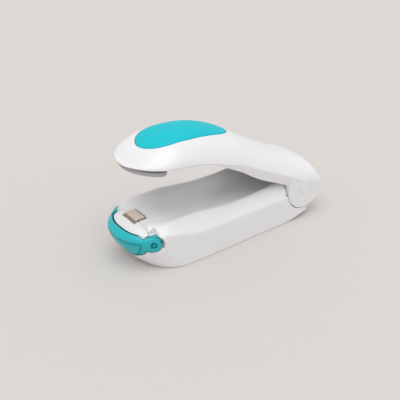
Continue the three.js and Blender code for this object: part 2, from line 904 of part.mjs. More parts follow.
const makeHeaterSpring = (side) =>
  coil(
    new THREE.Vector3(side * heaterSpringX, springY, plateThickness + heaterSpringWire + runGap / 6),
    new THREE.Vector3(side * heaterSpringX, springY, carrierBottom - heaterSpringWire - runGap / 6),
    heaterSpringRadius,
    heaterSpringRadius,
    5,
    heaterSpringWire,
  );

const switchBarTop = carrierBottom - runGap / 6;
const makeSwitchBar = () => block(
  -switchHalfWidth,
  switchHalfWidth,
  stemFront,
  wellRear - 2 * runGap,
  switchBarTop - switchThickness,
  switchBarTop,
);

// A fixed contact: a foot on the base plate and a leg up to one travel under the bar.
function makeSwitchContact(side) {
  const outer = side * switchHalfWidth;
  const inner = side * (switchHalfWidth - switchStrip);
  const top = switchBarTop - switchThickness - heaterTravel - runGap / 3;
  const leg = block(
    inner,
    outer,
    heaterY + switchStrip,
    heaterY + 2 * switchStrip,
    plateThickness + runGap / 6,
    top,
  );
  const foot = block(
    inner,
    outer,
    heaterY,
    heaterY + 3 * switchStrip,
    plateThickness + runGap / 6,
    plateThickness + 2 * switchThickness,
  );
  return join(leg, foot);
}

// Battery bay

const faceFront = bayFront + contactThickness;
const faceRear = bayRear - contactThickness;

function makeCell(side) {
  const [start, nubEnd] = side < 0 ? [faceFront + cellNubLength, -1] : [faceFront + contactSpringLength, 1];
  const can = barY(cellRadius, side * cellX, start, start + cellLength, cellZ, 28);
  const nub =
    nubEnd < 0
      ? barY(
        cellNubRadius,
        side * cellX,
        start - cellNubLength + runGap / 6,
        start + edgeRound,
        cellZ,
        smallFacets,
      )
      : barY(
        cellNubRadius,
        side * cellX,
        start + cellLength - edgeRound,
        start + cellLength + cellNubLength - runGap / 6,
        cellZ,
        smallFacets,
      );
  return join(can, nub);
}

function makeContact(side) {
  const half = contactSize / 2;
  return block(
    side * cellX - half,
    side * cellX + half,
    bayFront + runGap / 6,
    faceFront,
    cellZ - half,
    cellZ + half,
  );
}

function makeBridge() {
  const half = contactSize / 2;
  return block(-cellX - half, cellX + half, faceRear, bayRear - runGap / 6, cellZ - half, cellZ + half);
}

function makeContactSpring(side) {
  const tight = cellNubRadius;
  const wide = contactSize / 2 - contactSpringWire;
  const margin = contactSpringWire + runGap / 6;
  const start = side < 0 ? faceRear - margin : faceFront + margin;
  const end = start - Math.sign(-side) * (contactSpringLength - 2 * contactSpringWire - runGap / 3);
  return coil(
    new THREE.Vector3(side * cellX, start, cellZ),
    new THREE.Vector3(side * cellX, end, cellZ),
    wide,
    tight,
    4,
    contactSpringWire,
  );
}

const point = (x, y, z) => new THREE.Vector3(x, y, z);
const channelZ = cellZ / 2;
const leadX = cellX - leadRadius;

// From the right contact to the ribbon's right leg
const makeRedLead = () =>
  wire(
    [
      point(leadX, bayFront - runGap, channelZ),
      point(leadX, roomRear, channelZ),
      point(wellX + leadRadius, springY + heaterSpringRadius, channelZ),
      point(wellX + leadRadius, heaterY + heaterBreadth / 4, channelZ + 2 * leadRadius),
      point(heaterLength / 2 + leadRadius + runGap / 3, heaterY, carrierBottom - edgeRound - leadRadius),
    ],
    leadRadius,
  );

// From the left contact to the left switch contact
const makeBlackLead = () =>
  wire(
    [
      point(-leadX, bayFront - runGap, channelZ),
      point(-leadX, roomRear - leadRadius, channelZ),
      point(-heaterSpringX, springY + heaterSpringRadius + 3 * leadRadius, channelZ),
      point(-switchHalfWidth, springY + heaterSpringRadius + 2 * leadRadius, channelZ),
      point(-switchHalfWidth + switchStrip / 2, heaterY + 2 * switchStrip + leadRadius + runGap, channelZ),
    ],
    leadRadius,
  );

// From the right switch contact round the front to the ribbon's left leg
const makeLinkLead = () =>
  wire(
    [
      point(switchHalfWidth - switchStrip / 2, heaterY + switchStrip - runGap, channelZ),
      point(0, heaterY - leadRadius, channelZ),
      point(-heaterSpringX, heaterY - 2 * leadRadius, channelZ),
      point(-heaterLength / 2 - leadRadius, heaterY - leadRadius, channelZ + 2 * leadRadius),
      point(-heaterLength / 2 - leadRadius - runGap / 3, heaterY, carrierBottom - edgeRound - leadRadius),
    ],
    leadRadius,
  );

// Arm

// The half width of the arm along its length: a round nose, then a slow widening to the hinge.
function armHalf(y, inset) {
  const nose = frontY + armSetback + inset;
  const depth = armNoseDepth - inset;
  const full = mix(
    armNoseHalfWidth,
    halfWidth - runGap / 2,
    smooth(0, 1, (y - nose) / (hingeY - nose)),
  ) - inset;
  const share = Math.min(1, Math.max(0, (nose + depth - y) / depth));
  return full * Math.sqrt(Math.max(1 - share ** 2, 1e-4));
}

// The arm's body between two stations, shrunk by side and crown from its outer skin.
function armLoft({ inset = 0, drop = 0, hem = null, from = 0, to = 1 }) {
  const first = frontY + armSetback + inset;
  const rings = [];
  for (const share of armStationShares) {
    const y = Math.max(yAt(share), first + runGap / 6);
    if (share < from || share > to || (rings.length > 0 && y <= rings[rings.length - 1][0].y)) continue;
    const half = armHalf(y, inset);
    const crown = lookUp(armCrownShares, share) * armHeight - drop;
    const chine = Math.min(lookUp(armChineShares, share) * armHeight - drop / 2, crown - runGap);
    const bottom = hem === null ? Math.min(
      lookUp(armHemShares, share) * armHeight,
      chine - runGap,
    ) : chine - hem;
    const exponent = lookUp(armArchShares, share);
    const right = [];
    for (let i = 0; i <= archSteps; i++) {
      const angle = (Math.PI / 2) * (1 - i / archSteps);
      const x = i === 0 ? 0 : half * power(Math.cos(angle), 2 / exponent);
      right.push([x, chine + (crown - chine) * power(Math.sin(angle), 2 / exponent)]);
    }
    const tucked = Math.max(half - chineTuck, half / 2);
    right.push([tucked, bottom]);
    const left = right.slice(1).reverse().map(([x, z]) => [-x, z]);
    rings.push([...right, [0, bottom], ...left].map(([x, z]) => new THREE.Vector3(x, y, z)));
  }
  return loft(rings);
}

// Turns a shape made in the closed arm's frame up to where the open arm is.
const openUp = (geometry) =>
  geometry.translate(0, -hingeY, -hingeHeight).rotateX(-closeAngle).translate(0, hingeY, hingeHeight);

const closedPadZ = heaterTop + runGap;
const footBottom = closedPadZ + footPadRise;
const footTiltY = heaterY - pressPadBreadth / 2;

// Tips a shape of the foot forward about the front edge of the press pad, then turns it up with the arm.
const openFoot = (geometry) =>
  openUp(
    geometry.translate(0, -footTiltY, -footBottom).rotateX(footTilt).translate(0, footTiltY, footBottom),
  );

// The foot's plan in the closed arm's frame: the arm's nose, set in.
function footPlan(inset) {
  const tip = new THREE.Vector2(
    frontY + armSetback - hingeY,
    lookUp(armChineShares, 0) * armHeight - hingeHeight,
  );
  tip.rotateAround(new THREE.Vector2(0, 0), closeAngle);
  const front = hingeY + tip.x + inset;
  const side = armNoseHalfWidth - inset;
  const depth = armNoseDepth - inset;
  const rear = hingeY + tip.x + footLength + footInset - inset;
  const start = Math.asin(1 - (rear - front) / depth);
  const points = [];
  for (let i = 0; i <= 2 * noseSteps; i++) {
    const angle = mix(start, Math.PI - start, i / (2 * noseSteps));
    points.push([-side * Math.cos(angle), front + depth * (1 - Math.sin(angle))]);
  }
  return points;
}

function makeFootBody(gap) {
  const plate = prism(footPlan(footInset - gap), footBottom - gap, footBottom + footThickness + gap);
  const neck = prism(
    footPlan(footInset + footNeckInset - gap),
    footBottom,
    footBottom + footThickness + footNeck + gap,
  );
  return join(plate, neck);
}

const padBox = (gap) =>
  block(
    -pressPadLength / 2 - gap,
    pressPadLength / 2 + gap,
    heaterY - pressPadBreadth / 2 - gap,
    heaterY + pressPadBreadth / 2 + gap,
    closedPadZ - (gap > 0 ? overrun : 0),
    closedPadZ + pressPadThickness + gap / 2,
  );

const footScrewZ = footBottom + runGap;
const footScrewY = heaterY - footScrewSetback;
const footScrewLength = footThickness + footNeck + footScrewReach;

function makeFoot() {
  const padRoom = openUp(padBox(runGap / 3));
  const holes = sides.flatMap((side) => [
    barZ(screwRadius + runGap / 2, side * footScrewX, footScrewY, 0, 3 * platformHeight),
    barZ(screwHeadRadius + runGap / 2, side * footScrewX, footScrewY, 0, footScrewZ + screwHeadDepth),
  ]);
  return cut(openFoot(cut(makeFootBody(0), ...holes)), padRoom);
}

// The thumb pad's plan outline, grown by a gap.
function thumbOutline(gap) {
  const start = frontY + thumbPadSetback;
  const near = thumbPadShares.map(([along, wide]) => {
    const lean = (along - 0.5) * 2;
    return [(wide * thumbPadWidth) / 2 + (wide > 0 ? gap : 0), start + along * thumbPadLength + lean * gap];
  });
  const far = near.slice(1, -1).reverse().map(([x, y]) => [-x, y]);
  return [...near, ...far];
}

function makeThumbPad() {
  const plan = prism(thumbOutline(0), 0, 2 * armHeight);
  const inner = prism(thumbOutline(-2 * thumbPadProud), 0, 2 * armHeight);
  const skin = join(
    common(plan, armLoft({ drop: -thumbPadProud / 3 })),
    common(inner, armLoft({ drop: -thumbPadProud })),
  );
  return cut(skin, armLoft({ drop: thumbPadDepth, hem: 2 * armHeight }));
}

// The height, on the open arm, of a plane that lies level on the closed arm.
const levelOpen = (closedZ, y) =>
  hingeHeight - (y - hingeY) * Math.tan(closeAngle) + (closedZ - hingeHeight) / Math.cos(closeAngle);

const linerFront = yAt(0.245);
const linerRear = bayRear - shellWall;
const linerLow = (y) => Math.max(
  lookUp(armHemShares, alongBody(y)) * armHeight + edgeRound,
  levelOpen(footBottom, y),
);

// The band that the liner fills across the arm, carried down by a depth and up by a gap.
function linerBand(depth, gap) {
  const steps = 14;
  const low = [];
  for (let i = 0; i <= steps; i++) {
    const y = mix(linerFront, linerRear, i / steps);
    low.push([y, linerLow(y)]);
  }
  const high = low.map(([y, z]) => [y, z + linerThickness + gap]).reverse();
  return slab([...low.map(([y, z]) => [y, z - depth]), ...high], -halfWidth, halfWidth);
}

function makeLiner() {
  const room = armLoft({ inset: armFlank + runGap, drop: armCeiling + runGap, hem: 2 * armHeight });
  const holes = armScrewYs.flatMap((y) => [
    barZ(screwRadius + runGap / 2, 0, y, 0, 2 * armHeight),
    barZ(screwHeadRadius + runGap / 2, 0, y, 0, linerLow(y) + screwHeadDepth),
  ]);
  return cut(common(linerBand(0, 0), room), ...holes);
}

const armScrewYs = [frontY + armPostFrontSetback, frontY + armPostRearSetback];
function makeArmShell() {
  const outer = armLoft({});
  const core = armLoft({ inset: armFlank / 2, drop: armCeiling / 2, hem: 2 * armHeight });
  const cavity = armLoft({ inset: armFlank, drop: armCeiling, hem: 2 * armHeight, to: alongBody(hingeY) });
  const dome = armLoft({ inset: runGap / 5, drop: runGap / 5, hem: 2 * armHeight });
  const lobes = sides.map((side) => {
    const ends = [side * lobeInner, side * (halfWidth - runGap / 2)];
    return common(barX(lobeRadius, ...ends, hingeY, hingeHeight, 2 * roundFacets), dome);
  });
  const recess = cut(
    prism(thumbOutline(runGap), 0, 2 * armHeight),
    armLoft({ drop: thumbPadDepth + runGap, hem: 2 * armHeight }),
  );
  const barrelRoom = barX(barrelRadius + runGap, -lobeInner, lobeInner, hingeY, hingeHeight);
  const bore = barX(pinRadius + runGap / 3, -halfWidth, halfWidth, hingeY, hingeHeight, 2 * smallFacets);
  const capRooms = sides.map((side) =>
    barX(
      capRadius + runGap / 2,
      side * (halfWidth - capDepth),
      side * (halfWidth + overrun),
      hingeY,
      hingeHeight,
      2 * smallFacets,
    ),
  );
  const posts = armScrewYs.map((y) =>
    cut(common(barZ(armPostRadius, 0, y, 0, 2 * armHeight), core), linerBand(2 * armHeight, runGap))
  );
  const postHoles = armScrewYs.flatMap((y) => [
    barZ(screwRadius + runGap / 2, 0, y, 0, linerLow(y) + armScrewLength + edgeRound),
    barZ(screwHeadRadius + runGap / 2, 0, y, 0, linerLow(y) + screwHeadDepth + runGap / 2),
  ]);
  const footTop = footBottom + footThickness + footNeck + runGap;
  const footPosts = sides.map((side) =>
    common(openFoot(barZ(armPostRadius, side * footScrewX, footScrewY, footTop, 2 * platformHeight)), core)
  );
  const footHoles = sides.map((side) =>
    openFoot(
      barZ(screwRadius + runGap / 2, side * footScrewX, footScrewY, 0, footScrewZ + footScrewLength + runGap),
    )
  );
  let shell = cut(outer, cavity, recess, openFoot(makeFootBody(runGap)));
  shell = join(shell, ...lobes, ...posts, ...footPosts);
  return cut(shell, barrelRoom, bore, ...capRooms, ...postHoles, ...footHoles);
}

function makeTorsionSpring() {
  const start = -springSlotWidth / 2 + torsionWire + runGap;
  const begin = 1.5 * Math.PI;
  const end = begin + torsionTurns * 2 * Math.PI;
  // The first leg lies forward over the web, the last goes up and forward to the arm.
  const points = [torsionLeg, torsionLeg / 2].map((reach) =>
    point(start, hingeY - reach, hingeHeight - torsionRadius)
  );
  const steps = Math.ceil(torsionTurns * 10);
  for (let i = 0; i <= steps; i++) {
    const angle = mix(begin, end, i / steps);
    const x = start - 2 * start * (i / steps);
    points.push(
      point(x, hingeY + torsionRadius * Math.cos(angle), hingeHeight + torsionRadius * Math.sin(angle)),
    );
  }
  const way = point(0, -Math.sin(end), Math.cos(end));
  const last = points[points.length - 1];
  for (const reach of [torsionLeg / 2, torsionLeg]) points.push(last.clone().addScaledVector(way, reach));
  return wire(points, torsionWire);
}

const makeHingePin = () => barX(
  pinRadius,
  -halfWidth + capDepth + runGap,
  halfWidth - capDepth - runGap,
  hingeY,
  hingeHeight,
  2 * smallFacets,
);

function makeHingeCap(side) {
  const inner = side * (halfWidth - capDepth + runGap / 3);
  const outer = side * (halfWidth - runGap);
  return barX(capRadius, inner, outer, hingeY, hingeHeight, 2 * smallFacets);
}

function makeClipPin(side) {
  const inner = side * (clipPinInner + runGap / 3);
  const outer = side * clipPinOuter;
  return barX(clipPinRadius, inner, outer, clipY, clipPivotHeight, smallFacets);
}

// Assembly

const group = new THREE.Group();
const place = (name, geometry, material) => {
  const mesh = new THREE.Mesh(geometry, material);
  mesh.name = name;
  group.add(mesh);
};

place("base_shell", makeBaseShell(), whiteGloss);
place("base_plate", makeBasePlate(), whiteInner);
place("battery_door", makeBatteryDoor(), whiteInner);
place("base_screw_left", screwUp(-plateScrewHalfSpan, screwY, doorRecess, screwTop - doorRecess), steel);
place("base_screw_right", screwUp(plateScrewHalfSpan, screwY, doorRecess, screwTop - doorRecess), steel);
place("safety_clip", makeClip(), tealClip);
place("clip_pin_left", makeClipPin(-1), steel);
place("clip_pin_right", makeClipPin(1), steel);
place("heater_carrier", makeCarrier(), blackPhenolic);
place("heater_ribbon", makeRibbon(), nickel);
place("heater_tape", makeTape(), beigeTape);
place("tape_rod", makeTapeRod(), beigeTape);
place("heater_spring_left", makeHeaterSpring(-1), springSteel);
place("heater_spring_right", makeHeaterSpring(1), springSteel);
place("switch_bar", makeSwitchBar(), nickel);
place("switch_contact_left", makeSwitchContact(-1), nickel);
place("switch_contact_right", makeSwitchContact(1), nickel);
place("battery_cell_left", makeCell(-1), cellWrap);
place("battery_cell_right", makeCell(1), cellWrap);
place("contact_left", makeContact(-1), nickel);
place("contact_right", makeContact(1), nickel);
place("contact_bridge", makeBridge(), nickel);
place("contact_spring_left", makeContactSpring(-1), springSteel);
place("contact_spring_right", makeContactSpring(1), springSteel);
place("lead_red", makeRedLead(), redLead);
place("lead_black", makeBlackLead(), blackLead);
place("lead_link", makeLinkLead(), blackLead);
place("arm_shell", makeArmShell(), whiteGloss);
place("arm_liner", makeLiner(), whiteInner);
place("thumb_pad", makeThumbPad(), tealPad);
place("press_foot", makeFoot(), whiteInner);
place("press_pad", openUp(padBox(0)), greyRubber);
place("arm_screw_front", screwUp(0, armScrewYs[0], linerLow(armScrewYs[0]), armScrewLength), steel);
place("arm_screw_rear", screwUp(0, armScrewYs[1], linerLow(armScrewYs[1]), armScrewLength), steel);
place("foot_screw_left", openFoot(screwUp(-footScrewX, footScrewY, footScrewZ, footScrewLength)), steel);
place("foot_screw_right", openFoot(screwUp(footScrewX, footScrewY, footScrewZ, footScrewLength)), steel);
place("hinge_pin", makeHingePin(), steel);
place("hinge_cap_left", makeHingeCap(-1), whiteGloss);
place("hinge_cap_right", makeHingeCap(1), whiteGloss);
place("torsion_spring", makeTorsionSpring(), springSteel);

export default group;
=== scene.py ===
"""Looks of a pocket bag sealer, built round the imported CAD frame, in millimetres until a mesh is made."""
import logging
import math
from collections.abc import Callable, Iterable
from dataclasses import dataclass, field
from enum import Enum, IntEnum

import bmesh
import bpy
from bmesh.types import BMEdge, BMesh, BMVert
from bpy.types import Material, Node, NodeSocket, NodeTree, Object
from mathutils import Matrix, Vector


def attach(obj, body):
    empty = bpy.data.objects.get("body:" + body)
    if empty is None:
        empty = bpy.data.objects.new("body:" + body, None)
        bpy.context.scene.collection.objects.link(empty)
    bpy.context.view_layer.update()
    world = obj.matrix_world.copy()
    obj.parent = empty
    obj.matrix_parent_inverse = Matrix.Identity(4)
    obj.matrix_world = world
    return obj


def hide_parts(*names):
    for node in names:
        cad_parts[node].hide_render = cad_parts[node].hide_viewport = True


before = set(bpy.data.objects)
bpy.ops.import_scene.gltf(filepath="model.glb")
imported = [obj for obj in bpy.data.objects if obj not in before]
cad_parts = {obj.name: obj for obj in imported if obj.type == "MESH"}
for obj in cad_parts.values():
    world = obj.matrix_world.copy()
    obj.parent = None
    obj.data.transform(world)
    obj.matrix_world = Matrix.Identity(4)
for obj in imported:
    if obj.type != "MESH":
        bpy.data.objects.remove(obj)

logging.basicConfig(level=logging.INFO, format="%(levelname)s %(message)s")
LOG = logging.getLogger("sealer")

MM = 0.001
HALF_TURN = 3.1416
SIDES = (-1, 1)
BORE = 1.25
SINK = 2.25
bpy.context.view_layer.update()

Point = tuple[float, float, float]
Table = tuple[tuple[float, float], ...]


class Body(Enum):
    """The moving bodies of the frame."""

    BASE = "base"
    ARM = "arm"
    CLIP = "clip"
    STRIP = "strip"
    DOOR = "door"


class Slot(Enum):
    """The record's material slots of the pieces made here."""

    WHITE = "white_shell"
    INNER = "white_inner"
    PAD = "teal_pad"
    CLIP = "teal_clip"
    TAPE = "beige_tape"
    RUBBER = "grey_rubber"
    STEEL = "steel"


class Axis(Enum):
    """The direction that a round bar runs in."""

    X = "X"
    Y = "Y"
    Z = "Z"


class Join(Enum):
    """What a Boolean does with its tools."""

    CUT = "DIFFERENCE"
    ADD = "UNION"
    MEET = "INTERSECT"


class Facets(IntEnum):
    """How many flat faces stand for a round one."""

    DOT = 32
    BORE = 40
    SHAFT = 48
    PIN = 64
    SLOT = 96
    DISC = 128
    BARREL = 160
    SCOOP = 200
    LOBE = 220
    ROOM = 240


# Numbers


def mix(a: float, b: float, t: float) -> float:
    """Returns the value a share t of the way from a to b."""
    return a + (b - a) * t


def clamp(value: float, low: float = 0.0, high: float = 1.0) -> float:
    """Returns the value held between low and high."""
    return max(low, min(high, value))


def ease(low: float, high: float, value: float) -> float:
    """Returns 0 below low and 1 above high, with a smooth step between."""
    t = clamp((value - low) / (high - low))
    return t * t * (3 - 2 * t)


def power(value: float, exponent: float) -> float:
    """Returns a signed power."""
    return math.copysign(abs(value) ** exponent, value)


class Curve:
    """A smooth line through a table of rising first numbers."""

    def __init__(self, table: Table, soften: float = 0.0) -> None:
        """Works out the slopes at the points.

        Args:
            table: pairs of place and value, with rising places.
            soften: half the width over which values are averaged.
        """
        self.xs = [x for x, _ in table]
        self.ys = [y for _, y in table]
        self.soften = soften
        self.known: dict[float, float] = {}
        rises = [(y1 - y0) / (x1 - x0) for (x0, y0), (x1, y1) in zip(table, table[1:])]
        inner = [0.0 if a * b <= 0 else 2 * a * b / (a + b) for a, b in zip(rises, rises[1:])]
        self.slopes = [rises[0], *inner, rises[-1]]

    def exact(self, x: float) -> float:
        """Returns the value at a place, without softening."""
        if x <= self.xs[0]:
            return self.ys[0]
        if x >= self.xs[-1]:
            return self.ys[-1]
        i = next(k for k, place in enumerate(self.xs) if place >= x)
        width = self.xs[i] - self.xs[i - 1]
        t = (x - self.xs[i - 1]) / width
        start = (1 + 2 * t) * (1 - t) ** 2 * self.ys[i - 1] + t * (1 - t) ** 2 * width * self.slopes[i - 1]
        return start + t * t * (3 - 2 * t) * self.ys[i] + t * t * (t - 1) * width * self.slopes[i]

    def __call__(self, x: float) -> float:
        """Returns the softened value at a place, kept for the next time."""
        key = round(x, 7)
        if key not in self.known:
            steps = range(-4, 5) if self.soften else (0,)
            self.known[key] = sum(self.exact(x + self.soften * k / 4) for k in steps) / len(steps)
        return self.known[key]


# Forms made with bmesh operators


def grid_form(across: int, along: int, place: Callable[[float, float], Point]) -> BMesh:
    """Lays a grid over a surface and closes it where its edges meet.

    Args:
        across: the number of faces in the first direction.
        along: the number of faces in the second direction.
        place: gives the point, in millimetres, for two shares from 0 to 1.

    Returns:
        The mesh, with faces that point outwards when the surface is closed.
    """
    form = bmesh.new()
    bmesh.ops.create_grid(form, x_segments=across, y_segments=along, size=0.5)
    for vert in form.verts:
        u = round((vert.co.x + 0.5) * across) / across
        v = round((vert.co.y + 0.5) * along) / along
        vert.co = place(u, v)
    bmesh.ops.remove_doubles(form, verts=form.verts, dist=2e-4)
    bmesh.ops.dissolve_degenerate(form, edges=form.edges, dist=1e-5)
    open_edges = [edge for edge in form.edges if edge.is_boundary]
    if open_edges:
        bmesh.ops.holes_fill(form, edges=open_edges, sides=0)
    bmesh.ops.recalc_face_normals(form, faces=form.faces)
    return form


def round_off(form: BMesh, edges: list[BMEdge], rounding: float, segments: int = 3) -> None:
    """Rounds some edges of a form."""
    bmesh.ops.bevel(
        form, geom=edges, offset=rounding, segments=segments, profile=0.5, affect="EDGES", material=-1
    )


def box_form(low: Point, high: Point, rounding: float = 0.0) -> BMesh:
    """Makes a box between two corners.

    Args:
        low: the lowest corner.
        high: the highest corner.
        rounding: the radius of its edges, or 0 for sharp ones.

    Returns:
        The closed mesh.
    """
    form = bmesh.new()
    bmesh.ops.create_cube(form, size=1.0)
    size = [max(b - a, 1e-3) for a, b in zip(low, high)]
    bmesh.ops.scale(form, vec=size, verts=form.verts)
    bmesh.ops.translate(form, vec=[(a + b) / 2 for a, b in zip(low, high)], verts=form.verts)
    if rounding:
        round_off(form, form.edges[:], rounding)
    return form


def span(side: int, inner: float, outer: float) -> tuple[float, float]:
    """Returns two distances from the middle as rising places on one side."""
    return (inner, outer) if side > 0 else (-outer, -inner)


def bar_form(axis: Axis, radius: float, start: float, end: float, centre: tuple[float, float],
             facets: int = Facets.PIN, rounding: float = 0.0) -> BMesh:
    """Makes a round bar along one axis.

    Args:
        axis: the direction of the bar.
        radius: its radius.
        start: where it starts on its axis.
        end: where it ends on its axis.
        centre: the two other places of its axis, in the order x, y, z.
        facets: the number of faces round it.
        rounding: the radius of its two rims.

    Returns:
        The closed mesh.
    """
    form = bmesh.new()
    bmesh.ops.create_cone(
        form, cap_ends=True, segments=facets, radius1=radius, radius2=radius, depth=end - start
    )
    if rounding:
        rims = [edge for edge in form.edges if abs(edge.verts[0].co.z - edge.verts[1].co.z) < 1e-6]
        round_off(form, rims, rounding)
    middle = (start + end) / 2
    if axis is Axis.X:
        turn, place = Matrix.Rotation(math.pi / 2, 4, "Y"), (middle, *centre)
    elif axis is Axis.Y:
        turn, place = Matrix.Rotation(math.pi / 2, 4, "X"), (centre[0], middle, centre[1])
    else:
        turn, place = Matrix.Identity(4), (*centre, middle)
    bmesh.ops.transform(form, matrix=Matrix.Translation(place) @ turn, verts=form.verts)
    bmesh.ops.recalc_face_normals(form, faces=form.faces)
    return form


def extruded_form(outline: list[tuple[float, float]], start: float, end: float, axis: Axis = Axis.Z,
                  rounding: float = 0.0) -> BMesh:
    """Carries an outline along an axis.

    Args:
        outline: points of x and y for the Z axis, or of y and z for the X axis.
        start: where the body starts on its axis.
        end: where it ends.
        axis: the axis, X or Z.
        rounding: the radius of the edge at its start.

    Returns:
        The closed mesh.
    """
    form = bmesh.new()
    made = bmesh.ops.create_circle(form, cap_ends=True, segments=len(outline), radius=1.0)
    for vert, (a, b) in zip(made["verts"], outline):
        vert.co = (a, b, start) if axis is Axis.Z else (start, a, b)
    raised = bmesh.ops.extrude_face_region(form, geom=form.faces[:])
    moved = [part for part in raised["geom"] if isinstance(part, BMVert)]
    step = end - start
    bmesh.ops.translate(form, vec=(0, 0, step) if axis is Axis.Z else (step, 0, 0), verts=moved)
    bmesh.ops.recalc_face_normals(form, faces=form.faces)
    if rounding:
        place = 2 if axis is Axis.Z else 0
        rim = [edge for edge in form.edges if all(abs(v.co[place] - start) < 1e-6 for v in edge.verts)]
        round_off(form, rim, rounding, 4)
    return form


def lathe_form(profile: list[tuple[float, float]], centre: tuple[float, float], steps: int) -> BMesh:
    """Turns a profile round an axis along X.

    Args:
        profile: points of x and radius, ending on the axis at both ends.
        centre: the y and z of the axis.
        steps: the number of steps round it.

    Returns:
        The closed mesh.
    """
    form = bmesh.new()
    verts = [form.verts.new((x, centre[0] + r, centre[1])) for x, r in profile]
    edges = [form.edges.new(pair) for pair in zip(verts, verts[1:])]
    bmesh.ops.spin(
        form, geom=[*verts, *edges], cent=(0, *centre), axis=(1, 0, 0), angle=2 * math.pi, steps=steps,
        use_merge=True,
    )
    bmesh.ops.remove_doubles(form, verts=form.verts, dist=1e-4)
    bmesh.ops.recalc_face_normals(form, faces=form.faces)
    return form


def object_of(form: BMesh, name: str) -> Object:
    """Makes an object, in metres, from a form in millimetres, and frees the form.

    Args:
        form: the mesh.
        name: the object's name.

    Returns:
        The object, linked to the scene.
    """
    bmesh.ops.scale(form, vec=(MM, MM, MM), verts=form.verts)
    mesh = bpy.data.meshes.new(name)
    form.to_mesh(mesh)
    form.free()
    made = bpy.data.objects.new(name, mesh)
    bpy.context.scene.collection.objects.link(made)
    return made


def settle(piece: Object) -> None:
    """Applies the modifiers of a piece to its mesh."""
    graph = bpy.context.evaluated_depsgraph_get()
    mesh = bpy.data.meshes.new_from_object(piece.evaluated_get(graph))
    old = piece.data
    piece.modifiers.clear()
    piece.data = mesh
    bpy.data.meshes.remove(old)


def combine(piece: Object, how: Join, tools: Iterable[BMesh | Object]) -> Object:
    """Cuts, adds or keeps what tools share with a piece, one after another, and removes the tools.

    Args:
        piece: the object that is changed.
        how: what the tools do.
        tools: forms in millimetres or objects.

    Returns:
        The same piece.
    """
    for tool in tools:
        made = tool if isinstance(tool, Object) else object_of(tool, "tool")
        step = piece.modifiers.new("step", "BOOLEAN")
        step.operation = how.value
        step.solver = "EXACT"
        step.object = made
        settle(piece)
        mesh = made.data
        bpy.data.objects.remove(made)
        bpy.data.meshes.remove(mesh)
    return piece


def dress(piece: Object, body: Body, finish: Material, slot: Slot, nodes: Iterable[str] = (),
          rounding: float = 0.0, sharp: float = 35.0) -> Object:
    """Smooths a piece, gives it its finish, hangs it on its body and hides the CAD nodes that it stands for.

    Args:
        piece: the object.
        body: the body that it rides on.
        finish: its material.
        slot: not used.
        nodes: the CAD nodes that it stands for.
        rounding: the radius of its sharp edges, or 0 to leave them.
        sharp: the angle in degrees above which an edge stays sharp.

    Returns:
        The same piece.
    """
    form = bmesh.new()
    form.from_mesh(piece.data)
    bmesh.ops.remove_doubles(form, verts=form.verts, dist=5e-6)
    bmesh.ops.dissolve_degenerate(form, edges=form.edges, dist=2e-6)
    form.to_mesh(piece.data)
    form.free()
    piece.data.shade_smooth()
    piece.data.set_sharp_from_angle(angle=math.radians(sharp))
    if rounding:
        edge = piece.modifiers.new("rounding", "BEVEL")
        edge.width = rounding * MM
        edge.segments = 2
        edge.limit_method = "ANGLE"
        edge.angle_limit = math.radians(sharp)
        edge.use_clamp_overlap = False
        edge.harden_normals = True
    piece.data.materials.clear()
    piece.data.materials.append(finish)
    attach(piece, body.value)
    names = tuple(nodes)
    if names:
        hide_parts(*names)
    LOG.info("%s: %d faces on %s", piece.name, len(piece.data.polygons), body.value)
    return piece


# Surfaces that several pieces share


@dataclass(frozen=True)
class Layout:
    """Sizes of the whole sealer that more than one sub-assembly needs."""

    length: float = 100.8
    width: float = 36.4
    wall: float = 1.8
    gap: float = 0.3
    over: float = 3.0
    edge: float = 0.9
    platform: float = 19.8
    dish: float = 17.3
    hinge_height: float = 15.2
    lobe_radius: float = 10.2
    lobe_width: float = 6.4
    barrel_radius: float = 8.5
    pin_radius: float = 1.5
    clip_setback: float = 9.2
    clip_height: float = 13.1
    heater_setback: float = 10.8
    heater_length: float = 9.0
    heater_breadth: float = 4.4
    heater_proud: float = 0.5
    cell_radius: float = 7.1
    cell_floor: float = 1.65
    bay_length: float = 56.6
    plate: float = 1.5

    @property
    def front(self) -> float:
        """The y of the base's nose."""
        return -self.length / 2

    @property
    def rear(self) -> float:
        """The y of the rearmost point."""
        return self.length / 2

    @property
    def half(self) -> float:
        """Half the nominal width."""
        return self.width / 2

    @property
    def hinge_y(self) -> float:
        """The y of the hinge."""
        return self.rear - self.lobe_radius

    @property
    def hinge(self) -> tuple[float, float]:
        """The y and z of the hinge."""
        return (self.hinge_y, self.hinge_height)

    @property
    def pivot(self) -> tuple[float, float]:
        """The y and z of the clip's pivot."""
        return (self.clip_y, self.clip_height)

    @property
    def lobe_inner(self) -> float:
        """The inner side of a lobe."""
        return self.half - self.lobe_width

    @property
    def scoop_radius(self) -> float:
        """The radius of the scoops that the lobes turn in."""
        return self.lobe_radius + 1.4 * self.gap

    @property
    def clip_y(self) -> float:
        """The y of the clip's pivot."""
        return self.front + self.clip_setback

    @property
    def heater_y(self) -> float:
        """The y of the heating strip."""
        return self.front + self.heater_setback

    @property
    def heater_top(self) -> float:
        """The height of the heating strip."""
        return self.platform + self.heater_proud

    @property
    def bay_rear(self) -> float:
        """The rear of the battery bay."""
        return self.hinge_y - self.scoop_radius - self.wall

    @property
    def bay_front(self) -> float:
        """The front of the battery bay."""
        return self.bay_rear - self.bay_length

    @property
    def cell_z(self) -> float:
        """The height of the cells' axes."""
        return self.cell_floor + self.cell_radius

    def share(self, y: float) -> float:
        """Returns how far along the body a place is."""
        return (y - self.front) / self.length

    def at(self, share: float) -> float:
        """Returns the place at a share of the body."""
        return self.front + share * self.length


